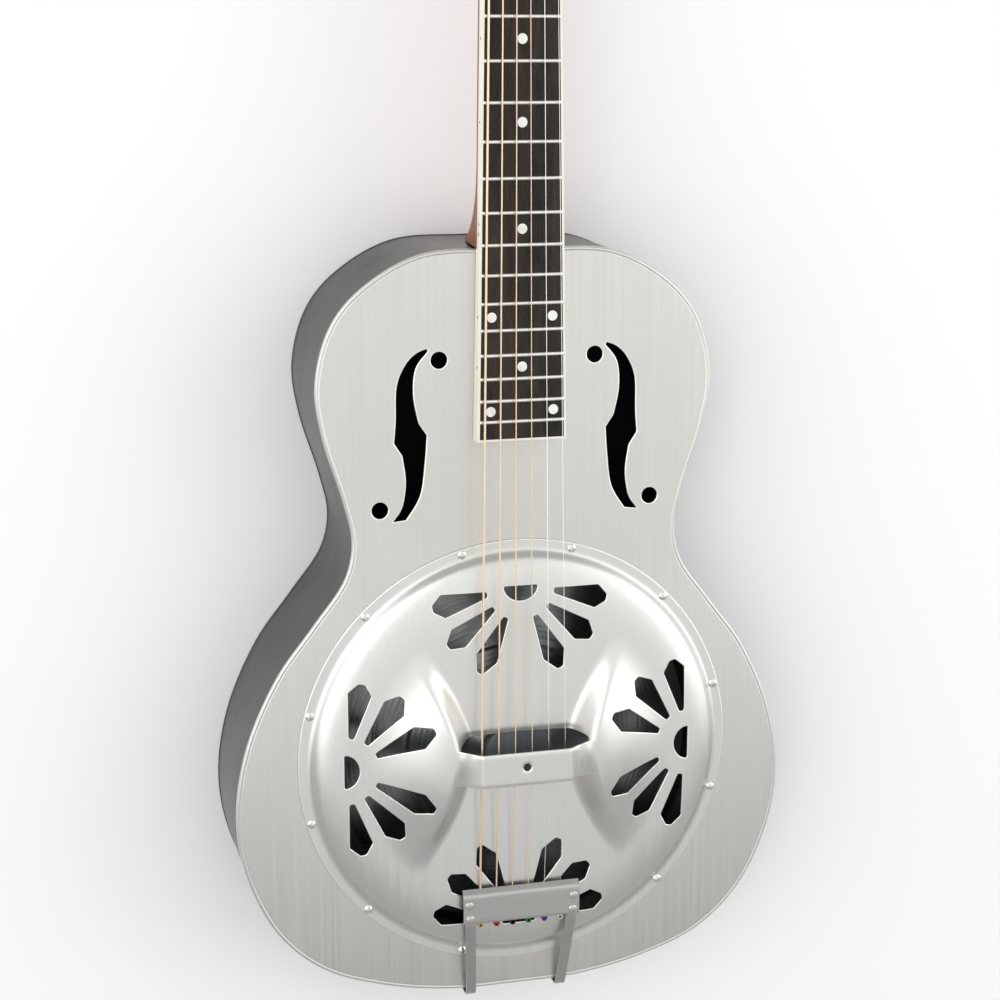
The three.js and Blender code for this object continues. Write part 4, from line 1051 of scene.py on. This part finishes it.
def head_pieces():
    face = VENEER_BASE + VENEER
    edge = lip(0.1, VENEER, 1)
    holes = [(circle(x, y, POST_HOLE, 32), edge) for x, y in TUNERS.values()]
    holes.append((resample(np.array(ROD_POCKET, float), 60), edge))
    outline = head_outline(0.6)
    outline = outline[(outline[:, 1] < 0.61) | (outline[:, 1] > 1.6)]
    outline = np.vstack([outline, np.linspace(outline[-1], outline[0], 40)[1:-1]])
    free = [(x, y) for x in np.arange(-36, 36.5, 3) for y in np.arange(3, 182, 3)]
    veneer = sheet((outline, lip(0.5, VENEER)), holes, lambda x, y: face, free, 1.2)
    piece("head_facing", shape_of(veneer, HEAD), BOARD_WOOD, "rosewood", "headstock_veneer")

    base = VENEER_BASE + face
    bell = [(-8, 1.6), (8, 1.6), (10, 14), (9, 25), (3, 32), (-3, 32), (-9, 25), (-10, 14)]
    outline = resample(spline(rounded(bell, 3), 2, closed=True), 90)
    cover = shape_of(plate(outline, base, base + 1.5, 0.4, 3), HEAD)
    piece("rod_cover", cover, BLACK, "black_plastic", "truss_rod_cover")
    screws = Shape()
    for x, y in ((-6.5, 5.5), (6.5, 5.5), (0, 28.5)):
        screws.add(screw_head(1.5, 0.7), HEAD @ at(x, y, base + 1.45) @ spin(x, "Z"))
    piece("rod_cover_screws", screws, BRIGHT, "polished_nickel")


# ---- tailpiece
STRING_AT_TAIL = TOP + 13.2


def tail_plate():
    line = fillet([(TAIL_REAR, TAIL_TOP - 6.5), (TAIL_REAR, TAIL_TOP), (TAIL_FRONT - 3.9, TAIL_TOP),
                   (TAIL_FRONT - 0.3, TAIL_TOP - 3.2)], 1.3)
    slots = [x for _, x, _, _ in STRINGS.values()]
    stations = [x + d for x in slots for d in (-1.1, 1.1)]
    stations += [side * x for side in (-1, 1) for x in (29, 36, TAIL_HALF)]

    def keep(x, y, z):
        rear = y < TAIL_REAR + 1.2 and z < TAIL_TOP - 0.9
        slot = any(abs(x - centre) < 1.1 for centre in slots) and z < TAIL_TOP - 1.8
        return not (rear and (abs(x) > 29 or slot))

    fine = []
    for a, b in zip(line, line[1:]):
        parts = max(1, int(np.linalg.norm(b - a) / 1.6))
        fine += [a + (b - a) * k / parts for k in range(parts)]
    solid = bent([*fine, line[-1]], sorted(stations), 1.1, keep)
    made = piece("tail_plate", solid, TAIL_METAL, "polished_nickel", "tailpiece_plate", sharp=50)
    bevel = made.modifiers.new("edges", "BEVEL")
    bevel.width = 0.25 * MM
    bevel.segments = 2
    bevel.limit_method = "ANGLE"
    bevel.angle_limit = radians(40)
    bevel.harden_normals = True


def tail_straps():
    wall = STRAP_REAR + 0.1
    line = np.array(fillet([(-90, TOP + 15.5), (-109, TOP + 15.5), (-156, TOP + 4.8),
                            (wall, TOP + 2.9), (wall, TOP - 22)], 3.0, 6))
    ahead = np.gradient(line, axis=0)
    ahead /= np.linalg.norm(ahead, axis=1)[:, None]
    section = ((-3.3, 0.25), (-3.1, 0), (3.1, 0), (3.3, 0.25), (3.3, 0.9), (3.1, 1.15),
               (-3.1, 1.15), (-3.3, 0.9))
    for side, name in ((-1, "bass"), (1, "treble")):
        rings = []
        for (y, z), (ty, tz) in zip(line, ahead):
            centre = side * (34.4 - 4.6 * min(1, (-90 - y) / 68.5))
            rings.append([(centre + x, y - tz * deep, z + ty * deep) for x, deep in section])
        piece(f"tail_strap_{name}", loft(rings), TAIL_METAL, "polished_nickel",
              f"tailpiece_strap_{name}", sharp=50)


def tail_fittings():
    centre = (low("strap_button").z + high("strap_button").z) / 2
    tee = [(-36, TOP - 6), (-36, TOP - 24), (-11, TOP - 30), (-9, centre - 8), (9, centre - 8),
           (11, TOP - 30), (36, TOP - 24), (36, TOP - 6)]
    solid = plate(resample(rounded(tee, 3.0), 120), 0.0, 1.5, 0.35, 2)
    piece("tail_bracket", shape_of(solid, at(0, BRACKET_REAR + 1.5, 0) @ UPRIGHT), TAIL_METAL,
          "polished_nickel", "tailpiece_bracket")

    profile = [(2.4, -12), (2.4, 0), (6.1, 0), (6.45, 0.25), (6.5, 0.8), (6.2, 1.4), (5.0, 2.2),
               (4.1, 3.6), (3.9, 5.5), (4.2, 7.4), (5.4, 9.2), (7.0, 10.4), (7.5, 11.2),
               (7.5, 12.1), (7.0, 12.8), (5.5, 13.0)]
    pin = shape_of(lathe(profile, 56), at(0, low("strap_button").y + 13, centre) @ UPRIGHT)
    piece("end_pin", pin, BRIGHT, "polished_nickel", "strap_button")

    rivet = lathe([(2.7, -0.4), (2.7, 0.3), (2.6, 0.6), (2.3, 0.82), (1.8, 0.92), (0, 0.95)], 32)
    rivets = Shape()
    for side in (-1, 1):
        for x, y in ((34.2, -93.5), (33.6, -102.8)):
            rivets.add(rivet, at(side * x, y, TAIL_TOP))
        for z in (TOP - 10, TOP - 18):
            rivets.add(rivet, at(side * 30, STRAP_REAR + 0.15, z) @ UPRIGHT)
    piece("rivets", rivets, RIVET_METAL, "polished_nickel")


BALL_COLORS = {
    "string_6_low_e": (0.72, 0.52, 0.20), "string_5_a": (0.45, 0.05, 0.05),
    "string_4_d": (0.03, 0.03, 0.035), "string_3_g": (0.04, 0.25, 0.09),
    "string_2_b": (0.12, 0.09, 0.35), "string_1_high_e": (0.70, 0.70, 0.70),
}


def ball_ends():
    """Grooved ferrules that hold the strings behind the tailpiece."""
    half = [(0.9, 1.5), (1.7, 1.5), (1.9, 1.3), (1.9, 0.7), (1.45, 0.35)]
    solid = lathe([(r, -z) for r, z in half] + half[::-1], 28, closed=True)
    for node, color in BALL_COLORS.items():
        look = bright_metal(f"ball_end_{node}", color, 0.28, 0.8)
        spot = at(STRINGS[node][1], TAIL_REAR - 2.0, STRING_AT_TAIL)
        slot = "wound_bronze" if node == "string_6_low_e" else "plain_steel"
        piece(f"ball_end_{node}", shape_of(solid, spot), look, slot)


# ---- tuning machines
WORM_PITCH = 2.7
MODULE = 0.78
WORM_LEAD = pi * MODULE
GEAR_TEETH = 14
GEAR_PITCH = GEAR_TEETH * MODULE / 2
WORM_Y = GEAR_PITCH + WORM_PITCH
WORM_Z = -5.7
WRAP_HEIGHT = 6.5
POST_TOP = 12.5
POST_RADIUS = 3.0
TURN_Y = spin(pi / 2, "Y")


def machine_plate():
    outline = resample(rounded([(-9, -12), (9, -12), (9, 14), (-9, 14)], 2.5), 80)
    shape = shape_of(plate(outline, -1.5, -0.3))
    ear = rounded([(x, WORM_Y + y) for x, y in ((-0.6, -3.4), (-0.6, 3.4), (3 - WORM_Z, 3.4),
                                                (3 - WORM_Z, -3.4))], 2.4)
    for x in (-6.5, 6.5):
        shape.add(plate(ear, -0.6, 0.6, 0.2), at(x, 0, -0.6) @ TURN_Y)
    for x, y in ((-6.4, -9.2), (6.4, -9.2), (0, 12.0)):
        spot = at(x, y, -1.45) @ spin(pi, "X") @ spin(x + 0.4, "Z")
        shape.add(screw_head(1.5, 0.8, 24), spot)
    return shape


def bushing_shape():
    base = 2 * VENEER_BASE + VENEER
    arc = [(4.75 + 1.45 * cos(a), base + 0.15 + 0.85 * sin(a)) for a in np.linspace(0, pi, 9)]
    return shape_of(lathe([(3.3, -4), (4.7, -4), (4.7, base), (6.2, base), *arc,
                           (3.3, base + 0.1)], 48, closed=True))


def post_shape():
    end = WORM_Z - 3.0
    waist = [(3.0, 3.6), (2.86, 4.4), (2.86, 8.6), (3.0, 9.4), (3.0, POST_TOP - 0.7),
             (2.8, POST_TOP - 0.25), (2.3, POST_TOP)]
    profile = [(1.7, end), (2.0, end + 0.3), (2.0, WORM_Z + 2.3), (3.0, WORM_Z + 2.3)]
    shape = shape_of(lathe(profile + [(r, HEAD_THICK + z) for r, z in waist], 40))
    return shape.add(screw_head(2.6, 1.0, 28), at(0, 0, end + 0.2) @ spin(pi, "X"))


def wheel_shape():
    """Helical wheel with hub, twisted to the worm's lead."""
    half = [(4.5, 0.72), (5.3, 0.5), (6.05, 0.26)]
    tooth = [(radius, -along) for radius, along in half] + half[::-1]
    places = [(radius, 2 * pi * (k + 0.5) / GEAR_TEETH + pi / 2 + along / radius)
              for k in range(GEAR_TEETH) for radius, along in tooth]
    outline = ccw([(radius * cos(angle), radius * sin(angle)) for radius, angle in places])
    twist = WORM_LEAD / (2 * pi * WORM_PITCH * GEAR_PITCH)
    rings = []
    for level in (-2, -1.8, -0.9, 0, 0.9, 1.8, 2):
        line = turned_about(offset(outline, 0.18 if abs(level) == 2 else 0.0), level * twist)
        rings.append([(x, y, level + WORM_Z) for x, y in line])
    hub = [(3.6, WORM_Z + 2.0), (3.6, WORM_Z + 2.3)]
    return shape_of(loft(rings)).add(lathe(hub, 36))


def worm_shape(side):
    """Threaded worm on its shaft, with the button that turns it, about the X axis."""
    rings = []
    steps = 96
    for i in range(steps + 1):
        x = -3.4 + 6.8 * i / steps
        angle = 2 * pi * x / WORM_LEAD + pi
        fade = min(1.0, 6 * min(i, steps - i) / steps)
        crest = 0.65 * fade - 0.3 * (1 - fade)
        ridge = ((-1.2, -0.5), (crest, -0.2), (crest, 0.2), (-1.2, 0.5))
        rings.append([(x + along, (WORM_PITCH + out) * cos(angle), (WORM_PITCH + out) * sin(angle))
                      for out, along in ridge])
    shape = shape_of(loft(rings))
    lo, hi = sorted((-side * 8.5, side * 20))
    collar = [(1.9, 7.6), (2.2, 8.0), (2.0, 9.4), (1.5, 10.4)]
    neck = [(1.5, 14.5), (2.0, 15.6), (2.5, 17.6), (2.6, 19.6)]
    for profile, sides in (([(1.3, -4.9), (1.75, -4.5), (1.75, 4.5), (1.3, 4.9)], 32),
                           ([(1.0, lo), (1.25, lo + 0.3), (1.25, hi)], 28),
                           ([(r, side * z) for r, z in collar], 28),
                           ([(r, side * z) for r, z in neck], 28)):
        shape.add(lathe(profile, sides), TURN_Y)
    rings = []
    for a in np.linspace(-pi / 2, pi / 2, 17):
        swell = max(cos(a), 0.001) ** 0.5
        wide = 6.8 * swell * (0.93 + 0.07 * swell)
        rings.append([(side * 24 + wide * cos(b), 8.0 * swell * sin(b), 3.0 * sin(a)) for b in angles(48)])
    return shape.add(loft(rings))


def wraps_shape(radius, side):
    """Turns of string on the post, in the headstock's frame, and the trimmed end."""
    coil = POST_RADIUS + radius
    pitch = 2 * radius + 0.06
    turns = min(4.0, 3.2 / pitch)
    points = []
    for share in np.linspace(0, 1, int(turns * 28) + 1):
        angle = pi * (0 if side < 0 else 1) - side * 2 * pi * turns * share
        points.append((coil * cos(angle), coil * sin(angle),
                       HEAD_THICK + WRAP_HEIGHT - turns * pitch * share))
    stub = [(x * side, y, HEAD_THICK + WRAP_HEIGHT + z)
            for x, y, z in ((2.0, 0, 1.6), (3.8, 0, 1.6), (4.9, 0.3, 2.1), (5.4, 0.5, 3.3))]
    return shape_of(tube(points, radius, 10)).add(tube(stub, radius, 10))


def tuner_pieces():
    for (node, (radius, *_)), (tuner, (x, y)) in zip(STRINGS.items(), TUNERS.items()):
        side = -1 if x < 0 else 1
        face, back = HEAD @ at(x, y, 0), HEAD @ at(x, y, -HEAD_THICK)
        button, spindle = f"tuner_{tuner}_button", f"tuner_{tuner}_spindle"
        jobs = [
            ("machine_plate", machine_plate(), back, "guitar", "plate"),
            ("ferrule", bushing_shape(), face, "guitar", "bushing"),
            ("string_post", post_shape(), back, spindle, "post"),
            ("wheel", wheel_shape(), back, spindle, "gear"),
            ("worm_and_button", worm_shape(side), back @ at(0, WORM_Y, WORM_Z), button, "worm"),
        ]
        for name, shape, place, body, cad in jobs:
            look, slot = (BRASS, "gear_brass") if cad == "gear" else (BRIGHT, "polished_nickel")
            shape.verts = [place @ Vector(v) for v in shape.verts]
            piece(f"{tuner}_{name}", shape, look, slot, f"tuner_{tuner}_{cad}", body=body)
        shape = wraps_shape(radius, side)
        shape.verts = [back @ Vector(v) for v in shape.verts]
        piece(f"{tuner}_string_wraps", shape, string_look(node), string_slot(node), body=spindle)


# ---- strings
@cache
def string_look(node):
    radius = STRINGS[node][0]
    if radius < THINNEST_WOUND:
        return STRING_STEEL
    return wound(f"wound_{node}", (0.98, 0.78, 0.57), 0.3, 0.42 * radius + 0.08)


def string_slot(node):
    return "plain_steel" if STRINGS[node][0] < THINNEST_WOUND else "wound_bronze"


def string_pieces():
    for (node, (radius, tail, saddle, nut)), (x, y) in zip(STRINGS.items(), TUNERS.values()):
        reach = POST_RADIUS + radius
        post = HEAD @ Vector((x - copysign(reach, x), y, WRAP_HEIGHT))
        route = [(tail, TAIL_REAR - 0.7, STRING_AT_TAIL), (tail, TAIL_FRONT + 1, STRING_AT_TAIL),
                 (saddle, -1.6, SADDLE_TOP + radius), (saddle, 1.6, SADDLE_TOP + radius),
                 (nut, NUT_Y + 0.4, NUT_TOP + radius + 0.3),
                 (nut, NUT_Y + 4.4, NUT_TOP + radius + 0.05), tuple(post)]
        line = tube(fillet(route, 1.2, 4), radius, 14)
        piece(f"line_{node}", line, string_look(node), string_slot(node), node, sharp=60)


# ---- kept CAD nodes
def kept_nodes():
    for node, look in (("neck_stick", RAW_WOOD), ("biscuit_screw", STEEL), ("truss_rod", STEEL),
                       ("truss_rod_nut", STEEL)):
        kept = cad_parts[node]
        kept.data.materials.clear()
        kept.data.materials.append(look)


# ---- floor and light
def make_stage():
    mesh = bpy.data.meshes.new("floor")
    corners = [(-1, -1), (1, -1), (1, 1), (-1, 1)]
    mesh.from_pydata([(60 * x, 60 * y, -0.0005) for x, y in corners], [], [(0, 1, 2, 3)])
    floor = bpy.data.objects.new("floor", mesh)
    bpy.context.scene.collection.objects.link(floor)
    floor.data.materials.append(Look("pale_floor", (0.96, 0.96, 0.96), 0.8).material)


def area_light(name, place, aim, size, power):
    data = bpy.data.lights.new(name, "AREA")
    data.shape = "RECTANGLE"
    data.size, data.size_y = size
    data.energy = power
    light = bpy.data.objects.new(name, data)
    bpy.context.scene.collection.objects.link(light)
    light.location = place
    light.rotation_euler = (Vector(aim) - Vector(place)).to_track_quat("-Z", "Y").to_euler()


def make_light():
    world = bpy.data.worlds.new("studio")
    bpy.context.scene.world = world
    world.use_nodes = True
    sky = world.node_tree.nodes["Background"]
    sky.inputs["Color"].default_value = (1, 1, 1, 1)
    sky.inputs["Strength"].default_value = 0.45
    area_light("overhead", (0.2, 0.9, 2.6), (0.2, 0.9, 0), (4.0, 4.0), 29)
    area_light("right_side", (2.15, 0.6, 1.3), (0, 0.1, 0.1), (2.6, 2.0), 22)
    area_light("left_side", (-1.8, 0.8, 1.7), (0, 0.1, 0.1), (3.0, 2.6), 32)


body_pieces()
cone_and_bridge()
cover_piece()
rest_piece()
cover_screws()
neck_piece()
board_piece()
binding_piece()
frets_piece()
marker_pieces()
nut_piece()
head_pieces()
tail_plate()
tail_straps()
tail_fittings()
ball_ends()
tuner_pieces()
string_pieces()
kept_nodes()
make_stage()
make_light()
bpy.context.scene.view_settings.view_transform = "Standard"
